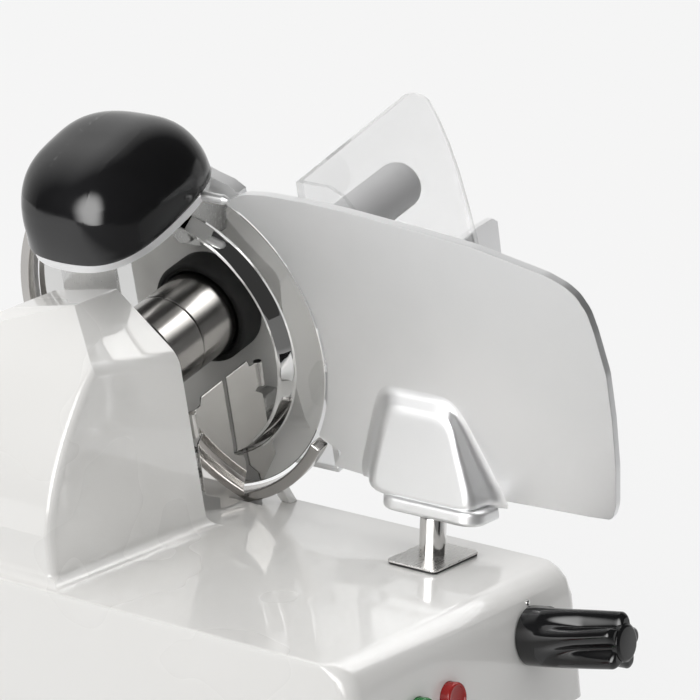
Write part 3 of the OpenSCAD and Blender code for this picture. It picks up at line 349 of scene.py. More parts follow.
# %% [markdown]
# ### Metals
# The blade is turned and polished, so its fine lines run in rings about the shaft, and its hub and
# the guard ring are turned but left satin. The gauge plate and the carriage are blasted and
# anodised, with an even grain. Rods and screws are ground, the post's cover is brushed one way, the
# post is polished, the deflector is a mirror and the bushes are bronze. The rings need the blade's
# own place and lean, which a Mapping node of the texture kind takes away from the coordinates. The
# blasted skin scatters part of the light as paint would, so it isn't wholly metallic.


# %% The metals
def rings(tree, place, scale):
    """Fine turning lines about the blade's axis."""
    mapping = tree.nodes.new("ShaderNodeMapping")
    mapping.vector_type = "TEXTURE"
    mapping.inputs["Location"].default_value = BLADE_CENTRE
    mapping.inputs["Rotation"].default_value = (0, math.pi / 2 - BLADE_LEAN, 0)
    tree.links.new(place, mapping.inputs["Vector"])
    flat = tree.nodes.new("ShaderNodeVectorMath")
    flat.operation = "MULTIPLY"
    flat.inputs[1].default_value = (1, 1, 0)
    tree.links.new(mapping.outputs["Vector"], flat.inputs[0])
    radius = tree.nodes.new("ShaderNodeVectorMath")
    radius.operation = "LENGTH"
    tree.links.new(flat.outputs["Vector"], radius.inputs[0])
    lines = tree.nodes.new("ShaderNodeTexNoise")
    lines.noise_dimensions = "1D"
    lines.inputs["Scale"].default_value = scale
    lines.inputs["Detail"].default_value = 2
    tree.links.new(radius.outputs["Value"], lines.inputs["W"])
    return lines.outputs["Fac"]


def metal(name, low, high, rough, pattern_of, strength, depth, edge):
    finish, tree, shader, place = new_finish(name)
    pattern = pattern_of(tree, place)
    tone = tones(tree, clouds(tree, place, 9), low, high)
    dress(tree, shader, over(tree, worn_edge(tree, 0.0007, 0.6), tone, edge),
          drift(tree, pattern, *rough))
    shader.inputs["Metallic"].default_value = 1.0
    relief(tree, shader, pattern, strength, depth)
    print("made", name)
    return finish


turned_steel = metal("turned_blade_steel", (0.66, 0.66, 0.655), (0.72, 0.72, 0.71), (0.015, 0.045),
                     lambda t, p: rings(t, p, 2600), 0.015, 0.0001, (0.86, 0.86, 0.86))
satin_steel = metal("satin_turned_steel", (0.47, 0.455, 0.44), (0.53, 0.515, 0.50), (0.15, 0.23),
                    lambda t, p: rings(t, p, 1500), 0.03, 0.0001, (0.74, 0.73, 0.72))
blasted_alloy = metal("blasted_alloy", (0.85, 0.855, 0.86), (0.89, 0.89, 0.895), (0.36, 0.45),
                      lambda t, p: clouds(t, p, 1400, 2.0), 0.10, 0.00012, (0.93, 0.93, 0.93))
blasted_alloy.node_tree.nodes["Principled BSDF"].inputs["Metallic"].default_value = 0.9
ground_steel = metal("ground_steel", (0.60, 0.60, 0.60), (0.68, 0.68, 0.67), (0.16, 0.28),
                     lambda t, p: clouds(t, stretched(t, p, (1, 8, 1)), 260, 2.0), 0.08, 0.0001,
                     (0.82, 0.82, 0.82))
brushed_sheet = metal("brushed_sheet", (0.84, 0.83, 0.81), (0.88, 0.87, 0.85), (0.24, 0.34),
                      lambda t, p: clouds(t, stretched(t, p, (1, 30, 1)), 90, 3.0), 0.03, 0.0001,
                      (0.84, 0.83, 0.82))
polished_steel = metal("polished_steel", (0.70, 0.69, 0.68), (0.76, 0.755, 0.75), (0.05, 0.11),
                       lambda t, p: clouds(t, p, 180, 2.0), 0.03, 0.0001, (0.88, 0.88, 0.88))
mirror_sheet = metal("mirror_sheet", (0.72, 0.705, 0.685), (0.77, 0.76, 0.745), (0.025, 0.06),
                     lambda t, p: clouds(t, p, 60, 2.0), 0.015, 0.0001, (0.85, 0.85, 0.85))
bush_bronze = metal("bush_bronze", (0.48, 0.30, 0.11), (0.60, 0.40, 0.17), (0.28, 0.42),
                    lambda t, p: clouds(t, p, 700, 2.0), 0.10, 0.0001, (0.75, 0.56, 0.28))

# %% [markdown]
# ### Plastics, rubber, stone and clear sheet
# Moulded plastic keeps a faint waviness from cooling even when it is glossy, so its highlight
# wobbles. Rubber is dull and grainy, a grinding stone is bonded grit. The hand guard is clear
# acrylic sheet: it refracts, it has hairline scratches, and its cut edges look grey, so more than
# half of it lets rays straight through. For shadow rays it is wholly see-through, so that what
# stands behind it isn't left in the dark.


# %% Moulded and soft finishes
def moulded(name, low, high, rough, grain, strength, depth, edge):
    finish, tree, shader, place = new_finish(name)
    tone = tones(tree, clouds(tree, place, 14), low, high)
    dress(tree, shader, over(tree, worn_edge(tree, 0.0008, 0.4), tone, edge),
          drift(tree, clouds(tree, place, 60), *rough))
    relief(tree, shader, clouds(tree, place, grain, 2.0), strength, depth)
    print("made", name)
    return finish


black_gloss = moulded("glossy_black_moulding", (0.006, 0.006, 0.0065), (0.011, 0.011, 0.012),
                      (0.09, 0.14), 30, 0.02, 0.0004, (0.022, 0.022, 0.022))
black_gloss.node_tree.nodes["Principled BSDF"].inputs["Specular IOR Level"].default_value = 0.7
black_matt = moulded("matt_black_moulding", (0.016, 0.016, 0.017), (0.026, 0.026, 0.027),
                     (0.42, 0.55), 900, 0.15, 0.0002, (0.07, 0.07, 0.07))
grip_grey = moulded("grey_grip_moulding", (0.40, 0.40, 0.405), (0.45, 0.45, 0.455),
                    (0.40, 0.52), 1100, 0.10, 0.0002, (0.52, 0.52, 0.52))
rubber = moulded("black_rubber", (0.014, 0.014, 0.014), (0.026, 0.026, 0.026),
                 (0.62, 0.78), 1300, 0.25, 0.0002, (0.06, 0.06, 0.06))
start_green = moulded("start_button_green", (0.012, 0.17, 0.035), (0.02, 0.22, 0.05),
                      (0.18, 0.28), 60, 0.06, 0.0003, (0.10, 0.34, 0.14))
stop_red = moulded("stop_button_red", (0.33, 0.012, 0.012), (0.42, 0.02, 0.018),
                   (0.18, 0.28), 60, 0.06, 0.0003, (0.56, 0.10, 0.09))
motor_paint = moulded("motor_paint", (0.085, 0.09, 0.10), (0.12, 0.125, 0.135),
                      (0.34, 0.46), 500, 0.12, 0.0002, (0.30, 0.30, 0.30))
white_moulding = moulded("white_moulding", (0.68, 0.68, 0.66), (0.74, 0.74, 0.72),
                         (0.30, 0.42), 700, 0.10, 0.0002, (0.60, 0.60, 0.58))
grit_stone = moulded("bonded_grit", (0.34, 0.30, 0.25), (0.62, 0.57, 0.50),
                     (0.80, 0.95), 1600, 0.6, 0.0004, (0.70, 0.66, 0.60))

clear_sheet, tree, shader, place = new_finish("clear_acrylic")
dress(tree, shader, tones(tree, clouds(tree, place, 7), (0.985, 0.99, 0.99), (1.0, 1.0, 1.0)),
      drift(tree, clouds(tree, stretched(tree, place, (1, 1, 12)), 60), 0.01, 0.05))
shader.inputs["Transmission Weight"].default_value = 1.0
shader.inputs["IOR"].default_value = 1.30
relief(tree, shader, clouds(tree, stretched(tree, place, (1, 1, 25)), 120), 0.02, 0.0001)
let_through = tree.nodes.new("ShaderNodeBsdfTransparent")
shadow_path = tree.nodes.new("ShaderNodeLightPath")
see_through = tree.nodes.new("ShaderNodeMath")
see_through.operation = "MAXIMUM"
see_through.inputs[1].default_value = 0.62
tree.links.new(shadow_path.outputs["Is Shadow Ray"], see_through.inputs[0])
clear_mix = tree.nodes.new("ShaderNodeMixShader")
tree.links.new(see_through.outputs[0], clear_mix.inputs[0])
tree.links.new(shader.outputs[0], clear_mix.inputs[1])
tree.links.new(let_through.outputs[0], clear_mix.inputs[2])
tree.links.new(clear_mix.outputs[0], tree.nodes["Material Output"].inputs["Surface"])
print("made", clear_sheet.name)

# %% [markdown]
# ## Dress every solid
# Each solid names the kind of stuff that it is made of. A table from that name to one of the
# finishes above gives all of them a finish at once; pieces that are remade below get theirs when
# they are made.

# %% Give each solid its finish
finish_for = {
    "white_paint": enamel, "polished_steel": polished_steel, "steel": ground_steel,
    "satin_aluminium": blasted_alloy, "black_gloss": black_gloss, "black_plastic": black_matt,
    "grey_plastic": grip_grey, "clear": clear_sheet, "black_rubber": rubber,
    "green_plastic": start_green, "red_plastic": stop_red, "bronze": bush_bronze,
    "motor_paint": motor_paint, "stone": grit_stone, "white_plastic": white_moulding,
}
stuff_of = {part["node"]: part["material_slot"] for part in frame["record"]["subparts"]}
body_of = {node: body for body, members in frame["record"]["behaviour"]["bodies"].items()
           for node in members}
for node, solid in nodes.items():
    solid.data.materials.clear()
    solid.data.materials.append(finish_for[stuff_of[node]])
print("dressed", len(nodes), "solids")

# %% [markdown]
# ## Broken edges on the castings and fittings
# A machinist never leaves a knife edge: every casting and turned part has its corners broken by
# a file or a radius tool, and that thin bright line is what makes it read as real. A copy of the
# solid is merged first, because its triangles are loose, its flat faces are joined up again, and
# then each sharp edge gets a small bevel.


# %% Softened copies of solids
def finish_piece(name, bm, finish, node, place=Matrix.Identity(4), smooth=35):
    """Puts a shape in its place, smooths it, gives it a finish and lets it stand for its solid."""
    bmesh.ops.transform(bm, matrix=place, verts=bm.verts)
    mesh = bpy.data.meshes.new(name)
    bm.to_mesh(mesh)
    bm.free()
    mesh.shade_smooth()
    mesh.set_sharp_from_angle(angle=math.radians(smooth))
    mesh.materials.append(finish)
    piece = bpy.data.objects.new(name, mesh)
    scene.collection.objects.link(piece)
    even = piece.modifiers.new("even_shading", "WEIGHTED_NORMAL")
    even.keep_sharp = True
    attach(piece, body_of[node])
    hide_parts(node)
    print(name, "faces:", len(mesh.polygons))
    return piece


def merged_copy(node):
    bm = bmesh.new()
    bm.from_mesh(nodes[node].data)
    bmesh.ops.remove_doubles(bm, verts=bm.verts, dist=0.00001)
    bmesh.ops.dissolve_limit(bm, angle_limit=math.radians(0.6), verts=bm.verts, edges=bm.edges)
    return bm


def sharp_edges(bm, angle):
    return [e for e in bm.edges if len(e.link_faces) == 2
            and e.calc_face_angle(0) > math.radians(angle)]


def round_off(bm, edges, radius, steps=2):
    bmesh.ops.bevel(bm, geom=edges, offset=radius, offset_type="OFFSET", segments=steps,
                    profile=0.5, affect="EDGES", clamp_overlap=True, material=-1)


def softened(node, radius, finish=None, steps=2, angle=30):
    bm = merged_copy(node)
    round_off(bm, sharp_edges(bm, angle), radius, steps)
    return finish_piece(node + "_softened", bm, finish or finish_for[stuff_of[node]], node)


for node, radius in {"guard_column": 0.0012, "deflector_posts": 0.0006, "carriage_arm": 0.0015,
                     "slide_block": 0.0008, "gauge_block": 0.0008, "bottom_cover": 0.0006,
                     "cable_gland": 0.0008, "cover_screws": 0.0005, "guard_screws": 0.0006,
                     "blade_screws": 0.0006, "handle_bolt": 0.0008, "motor_can": 0.002,
                     "motor_bracket": 0.0006, "switch_box": 0.001, "run_capacitor": 0.0015}.items():
    softened(node, radius)

# %% [markdown]
# ## The blade and its hub
# The blade is a shallow pan: a flat disc polished to a mirror, a steep cove round it and a narrow
# conical band that carries the edge. It is a lathe job, so it is made as one: the profile is
# drawn as a few points of radius and depth, and spun about the shaft. Both ends of the cove get a
# small round, which catches the light. The hub behind it is turned the same way, and so is the long
# rubber seal that keeps juice out of the bearing.


# %% Spun blade and hub
def spun(profile, steps=128, closed=False):
    """A turned shape from points of radius and place along the axis, in millimetres."""
    bm = bmesh.new()
    line = [bm.verts.new((r * MM, 0, s * MM)) for r, s in profile]
    pairs = list(zip(line, line[1:])) + ([(line[-1], line[0])] if closed else [])
    edges = [bm.edges.new(pair) for pair in pairs]
    bmesh.ops.spin(bm, geom=line + edges, cent=(0, 0, 0), axis=(0, 0, 1), angle=2 * math.pi,
                   steps=steps, use_merge=True)
    bmesh.ops.remove_doubles(bm, verts=bm.verts, dist=0.000001)
    bmesh.ops.recalc_face_normals(bm, faces=bm.faces)
    return bm


blade_profile = [(0, -12.8), (93.6, -12.8), (95, -12.45), (96, -11.2), (100.2, -3.5), (100.9, -2.6),
                 (102.2, -2.2), (122, -0.6), (124.4, -0.45), (125, -0.2), (124.4, 0), (121, -0.2),
                 (100.4, -0.75), (99.2, -1.6), (95.2, -8.8), (93.8, -9.8), (0, -9.8)]
finish_piece("slicing_blade", spun(blade_profile, 192), turned_steel, "blade", leaning, 12)

hub_profile = [(10.1, -69.8), (30.8, -69.8), (31.8, -68.8), (31.8, -14.2), (31.2, -13), (10.1, -13)]
finish_piece("turned_hub", spun(hub_profile, 128, True), satin_steel, "blade_hub", leaning, 30)

seal_profile = [(33, -72), (39, -72), (39, -52), (38.4, -50.8), (37, -50), (35.4, -50.2),
                (34.6, -51.4), (33.8, -51.2), (33, -51.8)]
finish_piece("lipped_shaft_seal", spun(seal_profile, 96, True), rubber, "shaft_seal", leaning, 40)

# %% [markdown]
# ## Gauge plate
# The food leans on this plate before each cut. It is a flat casting whose outline follows the
# blade on one side, with a broad boss on its back that sits on a post. The outline is one face,
# extruded to its thickness; the corners of the outline are rounded first and the rims after, so
# the bright line along the rim stays even. The boss has four leaning sides that flare into the
# plate and a rounded front, so it is lofted: a rounded outline between four corners is extruded
# from the plate to the front ring by ring. Low ribs on the food side keep a ham from sticking,
# and they give the front edge its ripple.


# %% Outline, boss, plinth and ribs
def slab(bm, points, low, high):
    """A flat plate from points in millimetres, between two heights."""
    face = bm.faces.new([bm.verts.new((x * MM, y * MM, low * MM)) for x, y in points])
    grown = bmesh.ops.extrude_face_region(bm, geom=[face])
    moved = [v for v in grown["geom"] if isinstance(v, bmesh.types.BMVert)]
    bmesh.ops.translate(bm, verts=moved, vec=(0, 0, (high - low) * MM))
    made = set(face.verts) | set(moved)
    bmesh.ops.recalc_face_normals(bm, faces=[f for f in bm.faces if set(f.verts) <= made])
    return list(made)


def upright_edges(verts):
    return [e for e in {e for v in verts for e in v.link_edges}
            if abs((e.verts[0].co - e.verts[1].co).normalized().z) > 0.99]


def rim_edges(bm):
    """Edges where a flat end of a plate meets its sides."""
    return [e for e in bm.edges if len(e.link_faces) == 2
            and abs(abs(e.link_faces[0].normal.z) - abs(e.link_faces[1].normal.z)) > 0.7]


GAUGE_ARC = 128.5
gauge_line = [(-GAUGE_ARC * math.sin(math.radians(a)), -GAUGE_ARC * math.cos(math.radians(a)))
              for a in range(61, -30, -3)]
gauge_line += [(71, -131), (84, -122), (86, -151), (80.5, -272), (78, -330), (76.5, -348), (66, -352),
               (36, -355), (-1, -356), (-34, -355), (-64.5, -349), (-78.5, -345), (-89, -338), (-95, -330),
               (-100.5, -316), (-111.5, -262), (-115.5, -225), (-121, -163), (-122.5, -131),
               (-122.5, -98), (-120.5, -80)]
gauge_bm = bmesh.new()
plate_verts = slab(gauge_bm, gauge_line, -3, 3.5)
corner_edges = [e for e in upright_edges(plate_verts) if e.calc_face_angle(0) > math.radians(4)]
round_off(gauge_bm, corner_edges, 3 * MM, 3)
round_off(gauge_bm, rim_edges(gauge_bm), 0.6 * MM, 2)


def extrude_ring(bm, ring):
    grown = bmesh.ops.extrude_edge_only(bm, edges=ring)
    return [e for e in grown["geom"] if isinstance(e, bmesh.types.BMEdge)]


def squarish(value, power):
    return math.copysign(abs(value) ** (2 / power), value)


def between_corners(corners, angle):
    """A point on a rounded outline inside four corners: two low ones, then two high ones."""
    across = 0.5 + 0.5 * squarish(math.cos(angle), 7)
    up = 0.5 + 0.5 * squarish(math.sin(angle), 7)
    low = corners[0].lerp(corners[1], across)
    return low.lerp(corners[3].lerp(corners[2], across), up)


leaning_back = leaning.inverted()
boss_back = [Vector((x, y, -2.6)) * MM for x, y in ((87, -264), (87, -148), (10, -174), (10, -230))]
boss_front = [leaning_back @ machine @ (Vector(corner) * MM)
              for corner in ((-6, -255, -86), (-6, -167, -86), (-6, -181, -22), (-6, -233, -22))]
BOSS_FOOT = 86.9 * MM
boss_bm = bmesh.new()
bmesh.ops.create_circle(boss_bm, cap_ends=False, radius=1, segments=112)
turn_mark = boss_bm.verts.layers.float.new("turn")
for vert in boss_bm.verts:
    vert[turn_mark] = math.atan2(vert.co.y, vert.co.x)
ring = boss_bm.edges[:]
boss_steps = [(0, 1.13), (0.05, 1.075), (0.12, 1.035), (0.22, 1.01), (0.36, 1.0), (0.74, 1.0),
              (0.82, 0.99), (0.89, 0.972), (0.94, 0.948), (0.975, 0.915), (0.995, 0.875), (1.0, 0.83),
              (1.0, 0.4)]
for count, (forward, size) in enumerate(boss_steps):
    if count:
        ring = extrude_ring(boss_bm, ring)
    corners = [back.lerp(front, forward) for back, front in zip(boss_back, boss_front)]
    middle = sum(corners, Vector()) / 4
    for vert in {v for e in ring for v in e.verts}:
        vert.co = middle + (between_corners(corners, vert[turn_mark]) - middle) * size
        vert.co.x = min(vert.co.x, BOSS_FOOT)
bmesh.ops.holes_fill(boss_bm, edges=boss_bm.edges, sides=0)
bmesh.ops.recalc_face_normals(boss_bm, faces=boss_bm.faces)

plinth_bm = bmesh.new()
slab(plinth_bm, [(-7.5, -257.5), (46, -257.5), (46, -176.5), (-7.5, -176.5)], -94.5, -83)
near_corners = [e for e in upright_edges(plinth_bm.verts) if e.verts[0].co.x < 0]
round_off(plinth_bm, near_corners, 14 * MM, 8)
low_rim = [e for e in rim_edges(plinth_bm) if all(v.co.z < -0.09 for v in e.verts)]
round_off(plinth_bm, low_rim, 3.5 * MM, 4)
top_rim = [e for e in rim_edges(plinth_bm) if all(v.co.z > -0.0832 for v in e.verts)]
round_off(plinth_bm, top_rim, 4 * MM, 5)
print("gauge parts:", len(gauge_bm.faces), len(boss_bm.faces), len(plinth_bm.faces))


# %% Join the gauge plate's shapes
def joined(*shapes):
    """One bmesh that holds several shapes, in the order given."""
    whole = bmesh.new()
    for shape in shapes:
        carrier = bpy.data.meshes.new("carrier")
        shape.to_mesh(carrier)
        shape.free()
        whole.from_mesh(carrier)
        bpy.data.meshes.remove(carrier)
    return whole


def cut_away(bm, point, normal):
    """Removes what lies on the side of a plane that its normal points to, and closes the cut."""
    cut = bmesh.ops.bisect_plane(bm, geom=bm.verts[:] + bm.edges[:] + bm.faces[:], plane_co=point,
                                 plane_no=normal, clear_outer=True)
    rim = [e for e in cut["geom_cut"] if isinstance(e, bmesh.types.BMEdge)]
    bmesh.ops.holes_fill(bm, edges=rim, sides=0)


bmesh.ops.transform(plinth_bm, matrix=leaning_back @ machine, verts=plinth_bm.verts)
cut_away(plinth_bm, Vector((0, 0, -2.6 * MM)), Vector((0, 0, 1)))

rib_bm = bmesh.new()
for level in range(-84, 76, 8):
    reach = 346 if abs(level) < 60 else 332
    near = 134 + max(0, 34 - abs(level - 20)) * 0.05
    bar = bmesh.ops.create_cone(rib_bm, cap_ends=True, segments=10, radius1=1.5 * MM, radius2=1.5 * MM,
                                depth=(reach - near) * MM)
    flatten = (Matrix.Translation(Vector((level, -(reach + near) / 2, 3.4)) * MM)
               @ Matrix.Diagonal((1.3, 1, 0.75, 1)) @ Matrix.Rotation(math.pi / 2, 4, "X"))
    bmesh.ops.transform(rib_bm, matrix=flatten, verts=bar["verts"])
whole_gauge_bm = joined(gauge_bm, boss_bm, plinth_bm, rib_bm)
finish_piece("gauge_plate_cast", whole_gauge_bm, blasted_alloy, "gauge_plate", leaning, 40)

# %% [markdown]
# ## Post, cover plate and gasket
# The post is a ground bar with a chamfered foot. A thin stainless plate with rounded corners
# closes the slot that it slides in, held by one small screw, and a rubber gasket seals it.

# %% Post and its cover
POST = Vector((3, -217.5, -146)) * MM
post_profile = [(0, 0), (8.4, 0), (9.25, 0.8), (9.25, 50.7), (8.8, 51.5), (0, 51.5)]
post_place = machine @ Matrix.Translation(POST)
finish_piece("ground_post", spun(post_profile, 96), polished_steel, "gauge_post", post_place, 40)


def rounded_sheet(length, width, low, high, corner, rim):
    bm = bmesh.new()
    x, y = length / 2, width / 2
    verts = slab(bm, [(-x, -y), (x, -y), (x, y), (-x, y)], low, high)
    round_off(bm, upright_edges(verts), corner * MM, 6)
    round_off(bm, rim_edges(bm), rim * MM, 2)
    return bm


cover_bm = rounded_sheet(57, 40, -122.2, -120.7, 4, 0.35)
screw_profile = [(0, -120.7), (2.6, -120.7), (2.6, -120.3), (2.0, -120.0), (1.4, -120.0), (1.2, -120.5),
                 (0, -120.5)]
screw_bm = spun(screw_profile, 32)
bmesh.ops.translate(screw_bm, verts=screw_bm.verts, vec=(0.018, 0.009, 0))
beside_post = machine @ Matrix.Translation(Vector((-1, -221, 0)) * MM)
finish_piece("slot_cover", joined(cover_bm, screw_bm), brushed_sheet, "post_cover", beside_post, 40)
gasket_bm = rounded_sheet(56, 39, -123.7, -122.2, 3.6, 0.4)
finish_piece("slot_gasket", gasket_bm, rubber, "post_gasket", beside_post, 40)

# %% [markdown]
# ## Knob
# The thickness knob is one moulding: a plain round collar, and a grip whose hollows start as
# nothing at the collar and deepen towards the end, turning a little as they go. A circle is
# extruded along the axis ring by ring. Each ring is pressed in between the five lobes by a sine,
# more and more with the distance, which no single operator gives. The lobes' ends are chamfered.

# %% Knob with deepening hollows
LOBES, GRIP_R = 5, 20.3
HOLLOW, HOLLOW_START, HOLLOW_RUN = 8.2, 14, 30
TWIST, TWIST_START, TWIST_RUN, FIRST_LOBE = 24, 15.6, 58, 27
FRONT = Vector((-12, -302 - 32 * math.tan(math.radians(9)), -124 - 32)) * MM
on_front = machine @ Matrix.Translation(FRONT) @ Matrix.Rotation(math.radians(81), 4, "X")


def knob_radius(angle, along):
    depth = HOLLOW * min(1.0, max(0.0, (along - HOLLOW_START) / HOLLOW_RUN)) ** 0.6
    turned = angle + math.radians(TWIST * (along - TWIST_START) / TWIST_RUN - FIRST_LOBE)
    return GRIP_R - depth * abs(math.sin(LOBES * turned / 2)) ** 2.6


knob_bm = bmesh.new()
bmesh.ops.create_circle(knob_bm, cap_ends=False, radius=19.6 * MM, segments=140)
bmesh.ops.translate(knob_bm, verts=knob_bm.verts, vec=(0, 0, 0.6 * MM))
ring = knob_bm.edges[:]
stations = [(1.4, 1.0), (14, 1.0), (15.2, 1.0)] + [(15.2 + 2.4 * i, 1.0) for i in range(1, 23)]
stations += [(70.0, 1.0), (71.0, 0.985), (72.0, 0.95), (72.9, 0.90), (73.5, 0.84), (73.6, 0.80),
             (73.6, 0.66)]
for along, shrink in stations:
    ring = extrude_ring(knob_bm, ring)
    for vert in {v for e in ring for v in e.verts}:
        angle = math.atan2(vert.co.y, vert.co.x)
        radius = knob_radius(angle, along) * shrink * MM
        vert.co = (radius * math.cos(angle), radius * math.sin(angle), along * MM)
bmesh.ops.holes_fill(knob_bm, edges=knob_bm.edges, sides=0)
bmesh.ops.recalc_face_normals(knob_bm, faces=knob_bm.faces)
finish_piece("fluted_knob", knob_bm, black_gloss, "gauge_knob", on_front, 50)

cap_profile = [(0, 75.6), (10.6, 75.6), (11.6, 75.3), (12.2, 74.6), (12.9, 74.2), (13, 73.6), (13, 70.8),
               (0, 70.8)]
finish_piece("knob_end_cap", spun(cap_profile, 72), black_gloss, "knob_cap", on_front, 40)

# %% [markdown]
# ## The casting
# Base and tower are one casting. Its solid has the right faces, but a cast and enamelled edge is
# round: where the tower stands on the deck the sand mould has a fillet, the tower's left edges,
# the fold across its front and those at its top are drawn soft, and the other edges are dressed to
# a couple of millimetres. Edges are picked by their place and by whether they are hollow or standing, and
# each kind gets a bevel of its own width, the widest first.

# %% Casting with a swept foot and dressed edges
DECK = -124
TOWER_FRONT, TOWER_REAR = -58, 75
FOOT_FILLET, SOFT_EDGE, UPPER_FOLD, TOWER_EDGE, PLAIN_EDGE = 9, 7, 6, 2.2, 0.9


def from_blade(vert):
    """A vertex's place in millimetres from the blade's centre."""
    return (vert.co - BLADE_CENTRE) / MM


def standing_edges(bm):
    """Sharp standing edges of the tower, above the deck."""
    return [e for e in sharp_edges(bm, 14) if e.is_convex
            and all(from_blade(v).z > DECK + 1 for v in e.verts)]


def on_tower_face(vert):
    """Whether a vertex lies on the tower's front or rear face."""
    return min(abs(from_blade(vert).y - TOWER_FRONT), abs(from_blade(vert).y - TOWER_REAR)) < 1


casting_bm = merged_copy("body_casting")
foot_edges = [e for e in sharp_edges(casting_bm, 30) if not e.is_convex
              and all(abs(from_blade(v).z - DECK) < 0.4 for v in e.verts)
              and all(TOWER_FRONT - 2 < from_blade(v).y < TOWER_REAR + 2 for v in e.verts)
              and all(-208 < from_blade(v).x < -39 for v in e.verts)]
print("foot edges:", len(foot_edges))
round_off(casting_bm, foot_edges, FOOT_FILLET * MM, 7)
soft_edges = [e for e in standing_edges(casting_bm) if e.calc_face_angle(0) > math.radians(40)
              and all(on_tower_face(v) for v in e.verts)
              and any(from_blade(v).x < -160 for v in e.verts)]
print("soft edges:", len(soft_edges))
round_off(casting_bm, soft_edges, SOFT_EDGE * MM, 6)
upper_folds = [e for e in standing_edges(casting_bm)
               if all(from_blade(v).z > -8 and from_blade(v).x < -100 for v in e.verts)]
print("upper folds:", len(upper_folds))
round_off(casting_bm, upper_folds, UPPER_FOLD * MM, 5)
round_off(casting_bm, standing_edges(casting_bm), TOWER_EDGE * MM, 4)
rest_edges = [e for e in sharp_edges(casting_bm, 28) if e.is_convex]
round_off(casting_bm, rest_edges, PLAIN_EDGE * MM, 2)
finish_piece("enamelled_casting", casting_bm, enamel, "body_casting", smooth=40)

# %% [markdown]
# ## Sharpener cover
# The black cover is a squarish dome: its outline is between an ellipse and a box, and one end is
# cut off flat beside the blade. A ring with that outline is extruded upwards and drawn in level
# by level, with a narrow lip at the foot. Where the stones reach through, planes part the skin
# and the faces between them are deleted. The wall is then given its thickness inwards.

# %% Dome, lip and opening
on_sharpener = (leaning @ Matrix.Translation(Vector((-122, -10, -50)) * MM)
                @ Matrix.Rotation(math.radians(-9), 4, "Y"))


DOME_H, DOME_HALF_W, DOME_REACH, FLAT_END = 54, 50, 68, 61
DOME_SWELL, DOME_SQUARE = 6, 3.0


def softer_least(first, second, blend=0.4):
    """The smaller of two lengths, with a rounded change from one to the other."""
    return -blend * math.log(math.exp(-first / blend) + math.exp(-second / blend))


def dome_point(angle, level):
    rise = DOME_H * math.sin(level)
    full = math.cos(level) ** 0.62
    swell = DOME_SWELL * math.sin(2 * max(level - math.radians(10), 0))
    rear = DOME_HALF_W * math.cos(level) ** 0.34 + swell
    across = squarish(math.sin(angle), DOME_SQUARE)
    along = softer_least(DOME_REACH * squarish(math.cos(angle), DOME_SQUARE) * full, FLAT_END - 0.2 * rise)
    return Vector((-rise - 0.4, across * (rear if across > 0 else DOME_HALF_W * full), along)) * MM


dome_bm = bmesh.new()
SEGMENTS = 144
bmesh.ops.create_circle(dome_bm, cap_ends=False, radius=1, segments=SEGMENTS)
marks = dome_bm.verts.layers.float.new("angle")
for vert in dome_bm.verts:
    vert[marks] = math.atan2(vert.co.y, vert.co.x)
    vert.co = dome_point(vert[marks], 0)
ring = dome_bm.edges[:]
level_angles = (6, 9, 12, 16, *range(20, 81, 5), 84, 87, 88.6)
levels = [0.03, 0.06] + [math.radians(a) for a in level_angles]
for level in levels:
    ring = extrude_ring(dome_bm, ring)
    for vert in {v for e in ring for v in e.verts}:
        lip = 1.0 if level > 0.05 else 1.012
        at = dome_point(vert[marks], level)
        vert.co = (at.x, at.y * lip, at.z)
bmesh.ops.holes_fill(dome_bm, edges=ring, sides=0)
bmesh.ops.recalc_face_normals(dome_bm, faces=dome_bm.faces)
bmesh.ops.transform(dome_bm, matrix=leaning_back @ on_sharpener, verts=dome_bm.verts)

openings = [(Vector((-149, -30, -12)) * MM, Vector((0, 10, 19)) * MM),
            (Vector((-141, -70, 4)) * MM, Vector((0, 10, 19)) * MM)]
for low_corner, high_corner in openings:
    for corner, axis in [(low_corner, i) for i in range(3)] + [(high_corner, i) for i in range(3)]:
        normal = Vector((0, 0, 0))
        normal[axis] = 1
        bmesh.ops.bisect_plane(dome_bm, geom=dome_bm.verts[:] + dome_bm.edges[:] + dome_bm.faces[:],
                               plane_co=corner, plane_no=normal)
    inside = [f for f in dome_bm.faces
              if all(lo < c < hi for lo, c, hi in zip(low_corner, f.calc_center_median(), high_corner))]
    bmesh.ops.delete(dome_bm, geom=inside, context="FACES")
bmesh.ops.solidify(dome_bm, geom=dome_bm.faces[:], thickness=2.6 * MM)

knuckle_bm = spun([(2.05, -10), (4.6, -10), (5, -9.6), (5, 9.6), (4.6, 10), (2.05, 10)], 40, True)
bmesh.ops.translate(knuckle_bm, verts=knuckle_bm.verts, vec=Vector((-5, 56, 0)) * MM)
web_bm = bmesh.new()
slab(web_bm, [(-10, 45), (-5, 45), (-5, 52), (-10, 56)], -10, 10)
hinge_bm = joined(knuckle_bm, web_bm)
bmesh.ops.transform(hinge_bm, matrix=leaning_back @ on_sharpener, verts=hinge_bm.verts)
finish_piece("sharpener_dome", joined(dome_bm, hinge_bm), black_gloss, "sharpener_cover", leaning, 40)

# %% [markdown]
# ## Handle, feet, buttons and pin
# These are all turned or moulded round, so each is a short profile that is spun: the handle with
# its full rounded end, the feet with a waist and a hollow under them, the buttons with a dished
# face and a ring, and the little index pin with its polished crown.

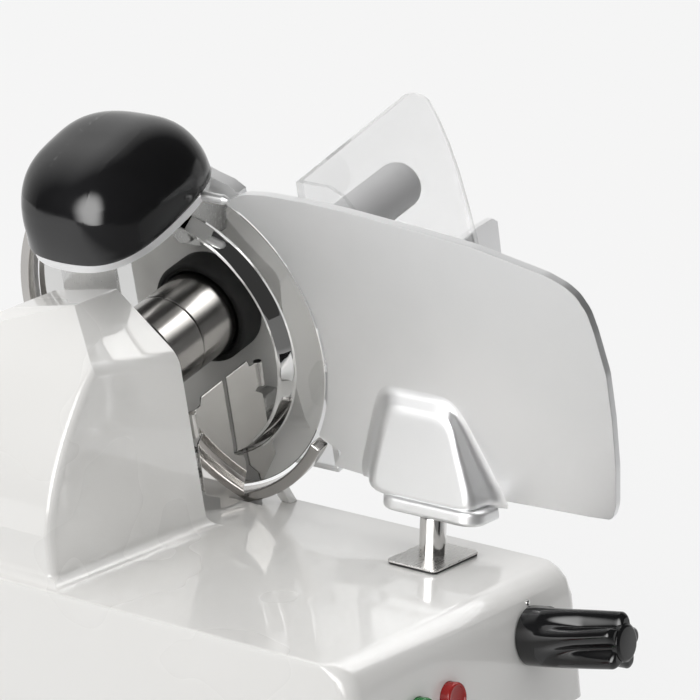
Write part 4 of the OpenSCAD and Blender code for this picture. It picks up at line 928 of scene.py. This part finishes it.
# %% Spun fittings
handle_place = leaning @ Matrix.Translation(Vector((-96, -144, 0)) * MM)
handle_profile = [(4.05, 14.6), (15.2, 14.6), (16.4, 15.2), (17, 16.6), (17, 20), (16.6, 20.6),
                  (16.6, 22.4), (17, 23), (17, 86), (16.6, 89), (15.4, 91.6), (13.4, 93), (11.5, 93.4),
                  (0, 93.5), (0, 55.5), (4.05, 55.5)]
finish_piece("moulded_handle", spun(handle_profile, 80), grip_grey, "carriage_handle", handle_place, 40)

foot_profile = [(0, 2.5), (8, 2.5), (9, 0.4), (12.6, 0), (14.6, 0.8), (15, 2.2), (14.6, 5), (13.4, 8),
                (13.2, 14), (14.2, 18), (15, 20), (15, 22), (0, 22)]
feet_bm = []
for x, y in ((-185, -225), (32, -240), (32, 90), (-185, 105)):
    foot_bm = spun(foot_profile, 48)
    bmesh.ops.translate(foot_bm, verts=foot_bm.verts, vec=Vector((x, y, -236)) * MM)
    feet_bm.append(foot_bm)
finish_piece("rubber_feet", joined(*feet_bm), rubber, "feet", machine, 40)

button_profile = [(0, -13), (13, -13), (13, -11), (11, -11), (11, 5.4), (10.5, 6.5), (9.6, 7),
                  (8.6, 6.8), (8.2, 6.1), (6, 5.7), (0, 5.5)]


def front_place(x, drop):
    at = Vector((x, -302 - drop * math.tan(math.radians(9)), -124 - drop)) * MM
    return machine @ Matrix.Translation(at) @ Matrix.Rotation(math.radians(81), 4, "X")


BUTTON_DROP = 46
for name, finish, node, x in (("start_push", start_green, "start_button", -150),
                              ("stop_push", stop_red, "stop_button", -114)):
    finish_piece(name, spun(button_profile, 64), finish, node, front_place(x, BUTTON_DROP), 40)

FRONT_ROUND, ROUND_LEFT = 20, 9
pin_sunk = FRONT_ROUND - math.sqrt(FRONT_ROUND ** 2 - ROUND_LEFT ** 2)
pin_profile = [(0, -pin_sunk - 6), (2, -pin_sunk - 6), (2, 0.3 - pin_sunk), (1.6, 0.65 - pin_sunk),
               (0, 0.8 - pin_sunk)]
finish_piece("index_pin_crown", spun(pin_profile, 32), polished_steel, "index_pin", front_place(-8, 11), 60)

# %% [markdown]
# ## Clear guard and metal fittings
# The hand guard is bent from one sheet, and the ring, the deflector, the table, its wall and the
# pusher are machined from plate or cast. Their solids are right, so softened copies serve, each
# with the radius that such a part has.

# %% Softened guard, ring, carriage, pusher and sharpener base
for node, radius, steps in (("sharpener_stay", 0.5, 2), ("sharpener_base", 0.8, 2),
                            ("carriage_table", 1.2, 3), ("carriage_wall", 1.4, 3),
                            ("pusher_plate", 0.6, 2), ("pusher_sleeve", 0.8, 2),
                            ("pusher_grip", 2.2, 4), ("pusher_rod", 0.8, 2),
                            ("hand_guard", 0.7, 3), ("guide_rod", 0.8, 2), ("gauge_rod", 0.6, 2)):
    softened(node, radius * MM, steps=steps)
softened("guard_ring", 1.6 * MM, satin_steel, 4)
softened("deflector", 0.35 * MM, mirror_sheet)
